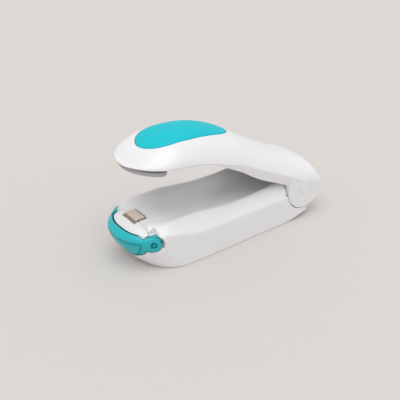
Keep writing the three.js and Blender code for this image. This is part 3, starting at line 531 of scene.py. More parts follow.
@dataclass
class Hull:
    """The boat-shaped outside of the lower body."""

    lay: Layout
    tail_overhang: float = 4.1
    keel_round: float = 0.4
    side_bow: float = 0.99
    crest_inset: float = 5.5
    nose_depth: float = 21.5
    keel_nose_depth: float = 14.6
    bow_overhang: float = 9.6
    bow_height: float = 12.0
    stern_rise: float = 4.2
    stern_length: float = 16.2
    stern_corner: float = 3.0
    shoulder_nose: float = 15.6
    nose_exponent: float = 2.25
    stern_exponent: float = 2.6
    stern_share: float = 0.12
    nose_share: float = 0.5
    keel_curve: float = 1.5
    bow_curve: float = 1.35
    swell_start: float = 0.02
    swell_widest: float = 0.32
    swell_end: float = 0.76
    around: int = Facets.ROOM
    shoulder_line: Curve = Curve(
        ((0.03, 15.6), (0.06, 15.75), (0.11, 17.0), (0.15, 17.75), (0.2, 16.9), (0.26, 14.9), (0.33, 14.25),
         (0.5, 14.2), (0.66, 14.2), (0.73, 13.7), (0.8, 13.2), (1.0, 13.2)), 0.012)
    crest_line: Curve = Curve(
        ((0.05, 19.3), (0.08, 19.4), (0.15, 20.4), (0.3, 20.4), (0.4, 19.4), (0.5, 18.4), (0.6, 18.4),
         (0.69, 19.1), (0.78, 19.8), (1.0, 19.8)), 0.02)
    dish_line: Curve = Curve(
        ((0.0, 19.8), (0.17, 19.8), (0.25, 18.55), (0.33, 17.35), (0.4, 17.3), (1.0, 17.3)), 0.015)
    rise_line: Curve = Curve(
        ((0.0, 0.0), (0.023, 0.07), (0.082, 0.176), (0.262, 0.353), (0.5, 0.62), (0.86, 0.955), (1.0, 1.0)))
    fall_line: Curve = Curve(
        ((1.0, 0.0), (1.12, 0.22), (1.3, 0.6), (1.65, 0.9), (2.3, 1.0), (4.0, 1.0)))

    @property
    def tail_y(self) -> float:
        """The y of the stern's tip."""
        return self.lay.hinge_y + self.tail_overhang

    def keel(self, y: float) -> float:
        """Returns the height of the bottom edge, which rises towards the stern."""
        share = (y - (self.tail_y - self.stern_length)) / self.stern_length
        return self.stern_rise * max(0.0, share) ** self.keel_curve

    def shoulder(self, y: float) -> float:
        """Returns the height at which the side turns in."""
        return self.shoulder_line(self.lay.share(y))

    def crest(self, y: float) -> float:
        """Returns the height of the rim's crest."""
        return self.crest_line(self.lay.share(y))

    def floor(self, y: float) -> float:
        """Returns the height of the dish's floor."""
        return self.dish_line(self.lay.share(y))

    def swell(self, y: float) -> float:
        """Returns how far the bowed sides widen the plan."""
        share = self.lay.share(y)
        if share < self.swell_widest:
            rise = ease(self.swell_start, self.swell_widest, share)
        else:
            rise = 1 - ease(self.swell_widest, self.swell_end, share)
        return 1 + (self.side_bow / self.lay.half) * rise

    def plan(self, u: float, inset: float, left: float) -> tuple[float, float]:
        """Gives a point of one level of the hull.

        Args:
            u: the share round the level, from the stern's middle round the left side.
            inset: how far the level is set in.
            left: how much of the bow's overhang is left to gain.

        Returns:
            The x and y of the point.
        """
        t = 2 * u if u <= 0.5 else 2 * (1 - u)
        side = self.lay.half - inset
        front = self.lay.front + self.bow_overhang * left + inset
        depth = mix(self.nose_depth, self.keel_nose_depth, left) - inset
        rear = self.tail_y - inset / 2
        corner = max(self.stern_corner - inset / 2, self.lay.edge)
        stern, nose = self.stern_share, self.nose_share
        if t <= stern:
            angle = math.pi / 2 * (1 - t / stern)
            x = side * power(math.cos(angle), 2 / self.stern_exponent)
            y = rear - corner * (1 - power(math.sin(angle), 2 / self.stern_exponent))
        elif t <= nose:
            x = side
            y = mix(rear - corner, front + depth, (t - stern) / (nose - stern))
        else:
            angle = math.pi / 2 * (t - nose) / (1 - nose)
            x = side * power(math.cos(angle), 2 / self.nose_exponent)
            y = front + depth * (1 - power(math.sin(angle), 2 / self.nose_exponent))
        x = 0.0 if t <= 0 or t >= 1 else x * self.swell(y)
        return (-x if u <= 0.5 else x, y)

    def bow_left(self, z: float) -> float:
        """Returns how much of the bow's overhang is left to gain at a height."""
        return max(0.0, 1 - z / self.bow_height) ** self.bow_curve

    def rim_height(self, inset: float, y: float) -> float:
        """Returns the height of the rim and dish at an inset from the side."""
        crest, turn = self.crest(y), self.shoulder(y) - self.lay.edge
        if inset <= self.crest_inset:
            return mix(turn, crest, self.rise_line(inset / self.crest_inset))
        return mix(crest, self.floor(y), self.fall_line(inset / self.crest_inset))

    def form(self) -> BMesh:
        """Builds the closed hull.

        Returns:
            The mesh in millimetres.
        """
        walls = [0, 0.006, 0.02, 0.05, 0.1, 0.16, 0.23, 0.3, 0.38, 0.46, 0.54, 0.62, 0.68, 0.73, 0.78, 0.84,
                 0.92, 1]
        insets = [0.05, 0.12, 0.24, 0.45, 0.7, 1.0, 1.44, 1.9, 2.4, 2.9, 3.4, 3.9, 4.4, 4.8, 5.1, 5.35,
                  5.6, 5.9, 6.3, 6.8, 7.4, 8.2, 9.1, 10.2, 11.4, 12.7]
        bands = {"under": (0.0, 0.5, 0.9), "wall": walls, "rim": insets, "dish": (0.8, 0.55, 0.3, 0.0)}
        levels = [(kind, value) for kind, values in bands.items() for value in values]
        count = len(levels) - 1

        def place(u: float, v: float) -> Point:
            kind, value = levels[round(v * count)]
            if kind == "under":
                x, y = self.plan(u, self.keel_round, 1.0)
                return (x * value, y, self.keel(y))
            if kind == "wall":
                inset = self.keel_round * max(0.0, 1 - value / 0.02) ** 2
                x, y = self.plan(u, inset, self.bow_left(value * (self.shoulder_nose - self.lay.edge)))
                return (x, y, mix(self.keel(y), self.shoulder(y) - self.lay.edge, value))
            inset = value if kind == "rim" else insets[-1]
            x, y = self.plan(u, inset, 0.0)
            return (x if kind == "rim" else x * value, y, self.rim_height(inset, y))

        return grid_form(self.around, count, place)


@dataclass
class ArmSkin:
    """The outer skin of the arm, and the turn that closes it."""

    lay: Layout
    height: float = 53.6
    setback: float = 5.2
    nose_half: float = 17.0
    nose_rise: float = 0.852
    nose_depth: float = 17.0
    ceiling: float = 3.0
    flank: float = 2.4
    tuck: float = 1.0
    foot_height: float = 41.9
    foot_setback: float = 15.0
    pad_proud: float = 0.6
    soft_start: float = 0.08
    soft_end: float = 0.93
    soft_reach: float = 0.02
    stations: int = 150
    around: int = 168
    crown_line: Curve = Curve(
        ((0.052, 0.846), (0.065, 0.856), (0.088, 0.89), (0.131, 0.937), (0.175, 0.974), (0.214, 0.998),
         (0.268, 1.01), (0.316, 1.0115), (0.369, 1.004), (0.418, 0.985), (0.465, 0.957), (0.514, 0.919),
         (0.563, 0.873), (0.601, 0.829), (0.66, 0.758), (0.726, 0.689), (0.785, 0.629), (0.843, 0.571),
         (0.901, 0.52), (0.94, 0.485), (0.965, 0.461), (0.985, 0.419), (0.995, 0.37), (1.0, 0.33)))
    chine_line: Curve = Curve(
        ((0.052, 0.852), (0.122, 0.848), (0.22, 0.834), (0.315, 0.818), (0.415, 0.762), (0.521, 0.698),
         (0.631, 0.597), (0.746, 0.489), (0.805, 0.433), (0.896, 0.341), (0.96, 0.28), (1.0, 0.262)), 0.02)
    hem_line: Curve = Curve(
        ((0.052, 0.84), (0.122, 0.836), (0.22, 0.821), (0.315, 0.801), (0.385, 0.772), (0.45, 0.706),
         (0.525, 0.631), (0.637, 0.496), (0.755, 0.388), (0.797, 0.347), (0.86, 0.291), (0.93, 0.22),
         (0.975, 0.21), (1.0, 0.27)), 0.015)
    arch_line: Curve = Curve(
        ((0.052, 1.75), (0.13, 1.8), (0.2, 1.95), (0.3, 2.2), (0.45, 2.3), (0.62, 2.2), (0.74, 2.2),
         (0.84, 2.2), (0.9, 2.4), (0.96, 2.8), (1.0, 2.8)), 0.02)
    lean_line: Curve = Curve(
        ((0.052, 0.0), (0.22, 0.0), (0.34, 0.31), (0.5, 0.38), (0.8, 0.38), (0.88, 0.24), (0.95, 0.05),
         (1.0, 0.0)))
    known: dict[float, float] = field(default_factory=dict)

    @property
    def nose(self) -> float:
        """The y of the arm's tip."""
        return self.lay.front + self.setback

    @property
    def close_angle(self) -> float:
        """The angle, in radians, from the open arm to the closed one."""
        pad_y = self.lay.front + self.foot_setback
        face = self.foot_height - self.pad_proud
        reach = math.hypot(self.lay.hinge_y - pad_y, face - self.lay.hinge_height)
        closed = (self.lay.heater_top + self.lay.gap - self.lay.hinge_height) / reach
        return math.asin((face - self.lay.hinge_height) / reach) - math.asin(closed)

    def open_up(self, form: BMesh) -> BMesh:
        """Turns a form made for the closed arm up to the open one, and returns it."""
        hinge = Matrix.Translation((0, self.lay.hinge_y, self.lay.hinge_height))
        turn = hinge @ Matrix.Rotation(-self.close_angle, 4, "X") @ hinge.inverted()
        bmesh.ops.transform(form, matrix=turn, verts=form.verts)
        return form

    def half(self, y: float, inset: float = 0.0) -> float:
        """Returns the half width of the arm at a place."""
        nose = self.nose + inset
        depth = self.nose_depth - inset
        widening = ease(nose, self.lay.hinge_y, y)
        full = mix(self.nose_half, self.lay.half - self.lay.gap / 2, widening) - inset
        share = clamp((nose + depth - y) / depth)
        return full * math.sqrt(max(1 - share * share, 1e-4))

    def crown(self, y: float) -> float:
        """Returns the height of the crown at a place, kept for the next time."""
        key = round(y, 6)
        if key not in self.known:
            share = self.lay.share(y)
            soft = self.soft_start <= share <= self.soft_end
            self.known[key] = (self.soft_crown(share) if soft else self.crown_line.exact(share)) * self.height
        return self.known[key]

    def soft_crown(self, share: float) -> float:
        """Returns the crown's share of the height, averaged along the arm."""
        reach = self.soft_reach * min(1.0, (self.soft_end - share) / 0.04, (share - self.soft_start) / 0.03)
        return sum(self.crown_line.exact(share + reach * k / 4) for k in range(-4, 5)) / 9

    def chine(self, y: float) -> float:
        """Returns the height of the widest edge at a place."""
        return min(self.chine_line(self.lay.share(y)) * self.height, self.crown(y) - self.lay.gap)

    def hem(self, y: float) -> float:
        """Returns the height of the lowest edge at a place."""
        return min(self.hem_line(self.lay.share(y)) * self.height, self.chine(y) - self.lay.gap)

    def top(self, x: float, y: float) -> float:
        """Returns the height of the skin above a place in plan."""
        place = self.lay.share(y)
        exponent, lean = self.arch_line(place), self.lean_line(place)
        share = clamp(abs(x) / self.half(y)) * power(math.cos(lean), 2 / exponent)
        start = power(math.sin(lean), 2 / exponent)
        rise = (max(1 - share**exponent, 0.0) ** (1 / exponent) - start) / (1 - start)
        return self.chine(y) + (self.crown(y) - self.chine(y)) * rise

    def form(self, inset: float = 0.0, drop: float = 0.0, hem: float | None = None,
             end: float = 1.0) -> BMesh:
        """Builds a closed body of the arm's shape.

        Args:
            inset: how far its sides are set in.
            drop: how far its crown is lowered.
            hem: how far it reaches below its widest edge, or None for the arm's own lowest edge.
            end: the share of the body at which it ends.

        Returns:
            The mesh in millimetres.
        """
        first = self.nose + inset + self.lay.gap / 6
        last = self.lay.at(end)
        top_end, side_end, side_width = 0.7, 0.85, 0.15

        def place(u: float, v: float) -> Point:
            y = mix(first, last, (1 - math.cos(math.pi * v)) / 2)
            share = self.lay.share(y)
            half = self.half(y, inset)
            crown = self.crown(y) - drop
            chine = min(self.chine_line(share) * self.height - drop / 2, crown - self.lay.gap)
            low = min(self.hem_line(share) * self.height, chine - self.lay.gap)
            bottom = low if hem is None else chine - hem
            tucked = max(half - self.tuck, half / 2)
            t = 2 * u if u <= 0.5 else 2 * (1 - u)
            side = 1 if u <= 0.5 else -1
            if t <= top_end:
                lean, exponent = self.lean_line(share), 2 / self.arch_line(share)
                angle = mix(math.pi / 2, lean, t / top_end)
                start = power(math.sin(lean), exponent)
                rise = (crown - chine) * (power(math.sin(angle), exponent) - start) / (1 - start)
                x = half * power(math.cos(angle), exponent) / power(math.cos(lean), exponent)
                return (side * x if t > 0 else 0.0, y, chine + rise)
            if t <= side_end:
                down = (t - top_end) / side_width
                return (side * mix(half, tucked, down), y, mix(chine, bottom, down))
            return (side * tucked * (1 - (t - side_end) / side_width), y, bottom)

        return grid_form(self.around, self.stations, place)


# Shader groups and finishes


class Graph:
    """A short way to add and link shader nodes."""

    def __init__(self, tree: NodeTree) -> None:
        """Keeps the tree.

        Args:
            tree: a material's or a group's node tree.
        """
        self.tree = tree

    def add(self, kind: str, values: dict[str | int, object] | None = None, **options: object) -> Node:
        """Adds a node.

        Args:
            kind: the node's type, without its ShaderNode prefix.
            values: what its inputs hold: a socket is linked, anything else is set.
            options: settings of the node itself.

        Returns:
            The node.
        """
        node = self.tree.nodes.new("ShaderNode" + kind)
        for name, option in options.items():
            setattr(node, name, option)
        return self.fill(node, values or {})

    def fill(self, node: Node, values: dict[str | int, object]) -> Node:
        """Links or sets the inputs of a node, and returns it."""
        for key, value in values.items():
            if isinstance(value, NodeSocket):
                self.tree.links.new(value, node.inputs[key])
            else:
                node.inputs[key].default_value = value
        return node

    def math(self, operation: str, first: object, second: object = 0.0) -> NodeSocket:
        """Returns the result of an operation on two values."""
        return self.add("Math", {0: first, 1: second}, operation=operation).outputs[0]

    def times(self, first: object, second: object) -> NodeSocket:
        """Returns the product of two values."""
        return self.math("MULTIPLY", first, second)

    def plus(self, first: object, second: object) -> NodeSocket:
        """Returns the sum of two values."""
        return self.math("ADD", first, second)

    def noise(self, vector: object, scale: object, detail: float = 2.0, rough: float = 0.5) -> NodeSocket:
        """Returns the grey value of a noise texture."""
        node = self.add("TexNoise", {"Vector": vector, "Scale": scale, "Detail": detail, "Roughness": rough})
        return node.outputs["Fac"]

    def stretch(self, vector: object, scale: Point) -> NodeSocket:
        """Returns a vector scaled along its axes."""
        return self.add("Mapping", {"Vector": vector, "Scale": scale}).outputs["Vector"]

    def spread(self, value: object, low: float, high: float) -> NodeSocket:
        """Returns a value carried from the range low to high to the range 0 to 1."""
        return self.add("MapRange", {"Value": value, "From Min": low, "From Max": high}).outputs["Result"]

    def blend(self, share: object, first: object, second: object) -> NodeSocket:
        """Returns a mix of two colours."""
        return self.add("Mix", {0: share, 6: first, 7: second}, data_type="RGBA").outputs[2]

    def bump(self, height: object, depth: float, strength: float) -> NodeSocket:
        """Returns the normal of a surface with bumps of a depth in millimetres."""
        node = self.add("Bump", {"Height": height, "Distance": depth * MM, "Strength": strength})
        return node.outputs["Normal"]

    def group(self, tree: NodeTree, values: dict[str, object]) -> Node:
        """Adds a node group and fills its inputs."""
        node = self.tree.nodes.new("ShaderNodeGroup")
        node.node_tree = tree
        return self.fill(node, values)


def shared_group(name: str, takes: dict[str, str], gives: dict[str, str],
                 fill: Callable[[Graph, Node], dict[str, NodeSocket]]) -> NodeTree:
    """Makes a shader group once.

    Args:
        name: the group's name.
        takes: names and kinds of its inputs.
        gives: names and kinds of its outputs.
        fill: builds the inside from the graph and the input node, and returns a socket for each output.

    Returns:
        The group's tree.
    """
    known = bpy.data.node_groups.get(name)
    if known:
        return known
    tree = bpy.data.node_groups.new(name, "ShaderNodeTree")
    for label, kind in takes.items():
        tree.interface.new_socket(label, in_out="INPUT", socket_type="NodeSocket" + kind)
    for label, kind in gives.items():
        tree.interface.new_socket(label, in_out="OUTPUT", socket_type="NodeSocket" + kind)
    entry = tree.nodes.new("NodeGroupInput")
    leave = tree.nodes.new("NodeGroupOutput")
    for label, socket in fill(Graph(tree), entry).items():
        tree.links.new(socket, leave.inputs[label])
    return tree


def grain_group() -> NodeTree:
    """Returns the group that gives the height of a moulded surface's fine grain."""

    def fill(graph: Graph, entry: Node) -> dict[str, NodeSocket]:
        vector, size = entry.outputs["Vector"], entry.outputs["Size"]
        fine = graph.noise(vector, size, 2.0, 0.55)
        cells = graph.add("TexVoronoi", {"Vector": vector, "Scale": graph.times(size, 0.7)},
                          feature="SMOOTH_F1").outputs["Distance"]
        wide = graph.noise(vector, graph.times(size, 0.09), 1.0)
        height = graph.plus(graph.times(fine, 0.55), graph.times(cells, 0.3))
        return {"Height": graph.plus(height, graph.times(wide, 0.6))}

    return shared_group("moulded grain", {"Vector": "Vector", "Size": "Float"}, {"Height": "Float"}, fill)


def tone_group() -> NodeTree:
    """Returns the group that lets a colour drift between two tones."""

    def fill(graph: Graph, entry: Node) -> dict[str, NodeSocket]:
        vector = entry.outputs["Vector"]
        broad = graph.noise(vector, 42.0, 2.0)
        fine = graph.noise(vector, 620.0, 3.0, 0.6)
        value = graph.plus(graph.times(broad, 0.75), graph.times(fine, 0.25))
        share = graph.spread(value, 0.32, 0.68)
        return {"Colour": graph.blend(share, entry.outputs["Light"], entry.outputs["Deep"]), "Share": share}

    takes = {"Vector": "Vector", "Light": "Color", "Deep": "Color"}
    return shared_group("tone drift", takes, {"Colour": "Color", "Share": "Float"}, fill)


def handling_group() -> NodeTree:
    """Returns the group that gives a mask of faint smudges and hairline marks."""

    def fill(graph: Graph, entry: Node) -> dict[str, NodeSocket]:
        vector = entry.outputs["Vector"]
        smudge = graph.spread(graph.noise(vector, 85.0, 3.0, 0.6), 0.5, 0.72)
        along = graph.noise(graph.stretch(vector, (2600.0, 130.0, 900.0)), 1.0, 2.0)
        across = graph.noise(graph.stretch(vector, (160.0, 2300.0, 900.0)), 1.0, 2.0)
        hair = graph.math("MAXIMUM", graph.spread(along, 0.66, 0.74), graph.spread(across, 0.67, 0.75))
        marks = graph.times(hair, 0.35)
        return {"Mask": graph.math("MAXIMUM", graph.times(smudge, 0.6), marks), "Hair": hair}

    return shared_group("handling marks", {"Vector": "Vector"}, {"Mask": "Float", "Hair": "Float"}, fill)


def weave_group() -> NodeTree:
    """Returns the group that gives the height and the thread mask of a plain weave."""

    def fill(graph: Graph, entry: Node) -> dict[str, NodeSocket]:
        vector, pitch = entry.outputs["Vector"], entry.outputs["Pitch"]
        parts = graph.add("SeparateXYZ", {0: vector})
        turns = graph.math("DIVIDE", HALF_TURN, pitch)
        x = graph.math("SINE", graph.times(parts.outputs["X"], turns))
        y = graph.math("SINE", graph.times(graph.plus(parts.outputs["Y"], parts.outputs["Z"]), turns))
        warp, weft = graph.math("ABSOLUTE", x), graph.math("ABSOLUTE", y)
        pick = graph.math("GREATER_THAN", graph.times(x, y), 0.0)
        threads = graph.add("Mix", {0: pick, 2: warp, 3: weft}).outputs[0]
        height = graph.times(threads, graph.math("MAXIMUM", warp, weft))
        return {"Height": height, "Thread": pick}

    takes = {"Vector": "Vector", "Pitch": "Float"}
    return shared_group("plain weave", takes, {"Height": "Float", "Thread": "Float"}, fill)


def brushed_group() -> NodeTree:
    """Returns the group that gives the height of drawn or turned metal's fine lines."""

    def fill(graph: Graph, entry: Node) -> dict[str, NodeSocket]:
        vector = entry.outputs["Vector"]
        lines = graph.noise(graph.stretch(vector, (4200.0, 260.0, 4200.0)), 1.0, 3.0, 0.6)
        stains = graph.noise(vector, 300.0, 3.0)
        return {"Height": lines, "Stain": graph.spread(stains, 0.45, 0.75)}

    return shared_group("drawn metal", {"Vector": "Vector"}, {"Height": "Float", "Stain": "Float"}, fill)


Colour = tuple[float, float, float]


def linear(red: float, green: float, blue: float) -> Colour:
    """Returns a linear colour from one of 0 to 255 as displayed."""
    shares = [value / 255 for value in (red, green, blue)]
    return tuple(s / 12.92 if s <= 0.04045 else ((s + 0.055) / 1.055) ** 2.4 for s in shares)


def shaded(colour: Colour, share: float) -> tuple[float, float, float, float]:
    """Returns a colour multiplied by a share, with its alpha."""
    return tuple(value * share for value in colour) + (1.0,)


def surface(name: str, shade: Callable[[Graph, NodeSocket], Node]) -> Material:
    """Makes a material once.

    Args:
        name: the material's name.
        shade: builds the shader from the graph and object coordinates, and returns its node.

    Returns:
        The material.
    """
    known = bpy.data.materials.get(name)
    if known:
        return known
    made = bpy.data.materials.new(name)
    made.use_nodes = True
    made.node_tree.nodes.clear()
    graph = Graph(made.node_tree)
    shader = shade(graph, graph.add("TexCoord").outputs["Object"])
    graph.add("OutputMaterial", {"Surface": shader.outputs["BSDF"]})
    return made


@dataclass(frozen=True)
class Finish:
    """What all finishes share: a named material with object coordinates."""

    name: str
    colour: Colour
    drift: float = 0.97

    def material(self) -> Material:
        """Builds the material, or finds it if it is there."""
        return surface(self.name, self.shade)

    def tone(self, graph: Graph, vector: NodeSocket) -> Node:
        """Returns the drifting colour of the finish."""
        values = {"Vector": vector, "Light": (*self.colour, 1.0), "Deep": shaded(self.colour, self.drift)}
        return graph.group(tone_group(), values)

    def shade(self, graph: Graph, vector: NodeSocket) -> Node:
        """Builds the shader and returns its node."""
        return graph.add("BsdfPrincipled", {"Base Color": self.tone(graph, vector).outputs["Colour"]})


@dataclass(frozen=True)
class Moulded(Finish):
    """Injection-moulded plastic or rubber."""

    roughness: float = 0.34
    spread: float = 0.1
    grain: float = 2400.0
    depth: float = 0.003
    gloss: float = 0.5
    coat: float = 0.0
    glow: float = 0.0

    def shade(self, graph: Graph, vector: NodeSocket) -> Node:
        """Builds the shader of grain, tone and faint wear.

        Args:
            graph: the material's graph.
            vector: object coordinates.

        Returns:
            The shader node.
        """
        tone = self.tone(graph, vector)
        marks = graph.group(handling_group(), {"Vector": vector})
        grain = graph.group(grain_group(), {"Vector": vector, "Size": self.grain})
        worn = graph.plus(graph.times(marks.outputs["Mask"], self.spread), self.roughness)
        rough = graph.plus(worn, graph.times(tone.outputs["Share"], self.spread * 0.3))
        height = graph.math("SUBTRACT", grain.outputs["Height"], graph.times(marks.outputs["Hair"], 0.25))
        values = {
            "Base Color": tone.outputs["Colour"], "Roughness": rough,
            "Normal": graph.bump(height, self.depth, 1.0), "Specular IOR Level": self.gloss,
            "Coat Weight": self.coat, "Coat Roughness": 0.12,
        }
        shader = graph.add("BsdfPrincipled", values)
        if self.glow:
            shader.inputs["Subsurface Weight"].default_value = self.glow
            shader.inputs["Subsurface Radius"].default_value = (1.0, 0.9, 0.8)
            shader.inputs["Subsurface Scale"].default_value = 0.6 * MM
        return shader


@dataclass(frozen=True)
class Woven(Finish):
    """Coated woven tape."""

    pitch: float = 0.42
    depth: float = 0.05

    def shade(self, graph: Graph, vector: NodeSocket) -> Node:
        """Builds the shader of crossing threads under a thin coating.

        Args:
            graph: the material's graph.
            vector: object coordinates.

        Returns:
            The shader node.
        """
        tone = self.tone(graph, vector)
        weave = graph.group(weave_group(), {"Vector": vector, "Pitch": self.pitch * MM})
        stain = graph.spread(graph.noise(vector, 420.0, 3.0), 0.42, 0.7)
        # Painted shade: the colour darkens to two thirds in the weave's low hollows between the threads; the
        # stains mixed in next are the tape's own wear.
        low = graph.blend(graph.times(weave.outputs["Height"], 0.8), shaded(self.colour, 0.66),
                          tone.outputs["Colour"])
        worn = graph.blend(graph.times(stain, 0.25), low, shaded(self.colour, 0.82))
        normal = graph.bump(weave.outputs["Height"], self.depth, 0.9)
        rough = graph.plus(0.42, graph.times(stain, 0.22))
        values = {"Base Color": worn, "Roughness": rough, "Normal": normal, "Specular IOR Level": 0.45}
        return graph.add("BsdfPrincipled", values)


@dataclass(frozen=True)
class Metal(Finish):
    """Drawn, stamped or plated metal."""

    roughness: float = 0.3
    depth: float = 0.003

    def shade(self, graph: Graph, vector: NodeSocket) -> Node:
        """Builds the shader of fine lines and stains.

        Args:
            graph: the material's graph.
            vector: object coordinates.

        Returns:
            The shader node.
        """
        tone = self.tone(graph, vector)
        lines = graph.group(brushed_group(), {"Vector": vector})
        rough = graph.plus(self.roughness, graph.times(lines.outputs["Stain"], 0.18))
        normal = graph.bump(lines.outputs["Height"], self.depth, 0.8)
        values = {"Base Color": tone.outputs["Colour"], "Metallic": 1.0, "Roughness": rough, "Normal": normal}
        return graph.add("BsdfPrincipled", values)


@dataclass(frozen=True)
class Palette:
    """The finishes of the sealer."""

    white: Moulded = Moulded("gloss white shell", (0.87, 0.87, 0.885), 0.98, roughness=0.27, spread=0.1,
                             grain=1500.0, depth=0.002, coat=0.15, glow=0.06)
    # Painted shade: the inner white is a mid grey, far darker than the shell's white, so the foot under the
    # arm looks shaded; the liner, base plate and battery door share it.
    inner: Moulded = Moulded("white inner with painted shade", (0.44, 0.44, 0.445), 0.95, roughness=0.5, spread=0.14,
                             grain=2600.0, depth=0.004)
    pad: Moulded = Moulded("soft teal pad", (0.006, 0.565, 0.655), 0.95, roughness=0.5, spread=0.14,
                           grain=3400.0, depth=0.006, gloss=0.22)
    clip: Moulded = Moulded("teal clip", (0.008, 0.5, 0.56), 0.93, roughness=0.3, spread=0.12,
                            grain=2200.0, depth=0.003)
    tape: Woven = Woven("beige heater tape", linear(246, 232, 214), 0.93)
    roll: Woven = Woven("tape roll", linear(186, 168, 140), 0.85, pitch=0.36, depth=0.06)
    phenolic: Moulded = Moulded("black phenolic", linear(42, 40, 38), 0.7, roughness=0.6,
                                grain=1900.0, depth=0.01)
    rubber: Moulded = Moulded("grey silicone", linear(180, 182, 185), 0.9, roughness=0.72, spread=0.12,
                              grain=2900.0, depth=0.009, gloss=0.3)
    steel: Metal = Metal("zinc-plated steel", (0.62, 0.63, 0.65), 0.85, roughness=0.27)
    spring: Metal = Metal("spring steel", (0.4, 0.41, 0.42), 0.8, roughness=0.34)
    nickel: Metal = Metal("nickel strip", (0.64, 0.61, 0.55), 0.85, roughness=0.3)
    cell: Moulded = Moulded("cell wrap", linear(63, 70, 80), 0.85, roughness=0.36, grain=1500.0, depth=0.003)
    red: Moulded = Moulded("red lead", linear(176, 42, 34), 0.85, roughness=0.5, grain=3800.0, depth=0.006)
    black: Moulded = Moulded("black lead", linear(34, 34, 34), 0.7, roughness=0.5, grain=3800.0, depth=0.006)


# Sub-assemblies


@dataclass
class ClipSeat:
    """The room that the safety clip turns in, which the base leaves free and the clip fills."""

    lay: Layout
    pin_radius: float = 1.0
    ear: float = 3.6
    ear_round: float = 3.2
    corner: float = 4.1
    ear_rear: float = 2.8
    ear_low: float = 1.0
    ear_inner: float = 13.4
    inner_half: float = 12.4
    pin_outer: float = 14.6
    step_rear: float = 2.7
    chin: float = 4.8
    smile: float = 22.6
    nose: Curve = Curve(
        ((0.0, 1.0), (0.26, 0.985), (0.4, 0.96), (0.52, 0.915), (0.63, 0.86), (0.73, 0.8), (0.82, 0.72),
         (0.9, 0.63), (0.96, 0.55), (1.0, 0.5)))

    @property
    def reach(self) -> float:
        """A half width that clears the body."""
        return self.lay.half + self.lay.over

    @property
    def core(self) -> float:
        """The radius of the nose block under the clip."""
        return self.lay.platform - self.lay.clip_height

    @property
    def top(self) -> float:
        """The top of the clip."""
        return self.lay.clip_height + self.ear

    def nose_block(self, gap: float) -> BMesh:
        """Returns the body of revolution that the clip turns round, grown by a gap."""
        steps = 24
        shares = [k / steps for k in range(steps + 1)]
        half = [(s * (self.inner_half - self.lay.gap), self.nose(s) * self.core + gap) for s in shares]
        half[-1] = (half[-1][0] + gap, half[-1][1])
        full = [(-x, r) for x, r in reversed(half[1:])] + half
        profile = [(full[0][0], 0.0), *full, (full[-1][0], 0.0)]
        return lathe_form(profile, self.lay.pivot, Facets.BARREL)

    def room(self, top: float, gap: float) -> Object:
        """Builds the room in front of the pivot.

        Args:
            top: the height up to which it reaches.
            gap: how much it is shrunk.

        Returns:
            The solid, as an object.
        """
        lay, reach = self.lay, self.reach
        front = lay.front - lay.over
        centre = self.chin + self.smile
        rear = lay.clip_y - 0.6 * self.ear - gap
        lower = object_of(bar_form(Axis.Y, self.smile - gap, front, rear, (0, centre), Facets.ROOM), "room")
        combine(lower, Join.MEET, [box_form((-reach, front - 1, 0), (reach, lay.clip_y, centre))])
        upper = box_form((-reach, front, lay.clip_height), (reach, lay.clip_y - gap, top))
        combine(lower, Join.ADD, [upper])
        above = box_form((-reach - 1, front - 2, top), (reach + 1, lay.clip_y + 0.01, 3 * lay.platform))
        return combine(lower, Join.CUT, [self.nose_block(gap), above])

    def ear_block(self, side: int, inner: float, outer: float, gap: float) -> Object:
        """Builds one ear, round below its pivot and nearly square above.

        Args:
            side: -1 for left or 1 for right.
            inner: its inner side.
            outer: its outer side.
            gap: how much it is grown.

        Returns:
            The solid, as an object.
        """
        lay = self.lay
        start, end = span(side, inner, outer)
        y0, y1 = lay.clip_y - self.corner - gap, lay.clip_y + (self.corner + gap if gap else self.ear_rear)
        z0 = lay.clip_height - self.ear_low - 2 * gap
        z1 = lay.clip_height + (self.corner + gap if gap else self.ear)
        centre = lay.pivot
        corner = object_of(bar_form(Axis.X, self.corner + gap, start, end, centre, Facets.DISC), "ear")
        square = object_of(box_form((start - 1, y0, lay.clip_height), (end + 1, y1, z1)), "square")
        combine(square, Join.ADD, [box_form((start - 1.1, lay.clip_y, z0), (end + 1.1, y1, z1))])
        combine(corner, Join.MEET, [square])
        low = bar_form(Axis.X, self.ear_round + gap, start, end, centre, Facets.DISC)
        return combine(corner, Join.ADD, [low])

    def step(self, side: int) -> BMesh:
        """Returns what is cut from the shell above one ear."""
        lay = self.lay
        start, end = span(side, self.inner_half + self.lay.gap / 5, self.reach)
        return box_form((start, lay.front - lay.over, self.top + lay.gap / 2),
                        (end, lay.clip_y + self.step_rear, 2 * lay.platform))


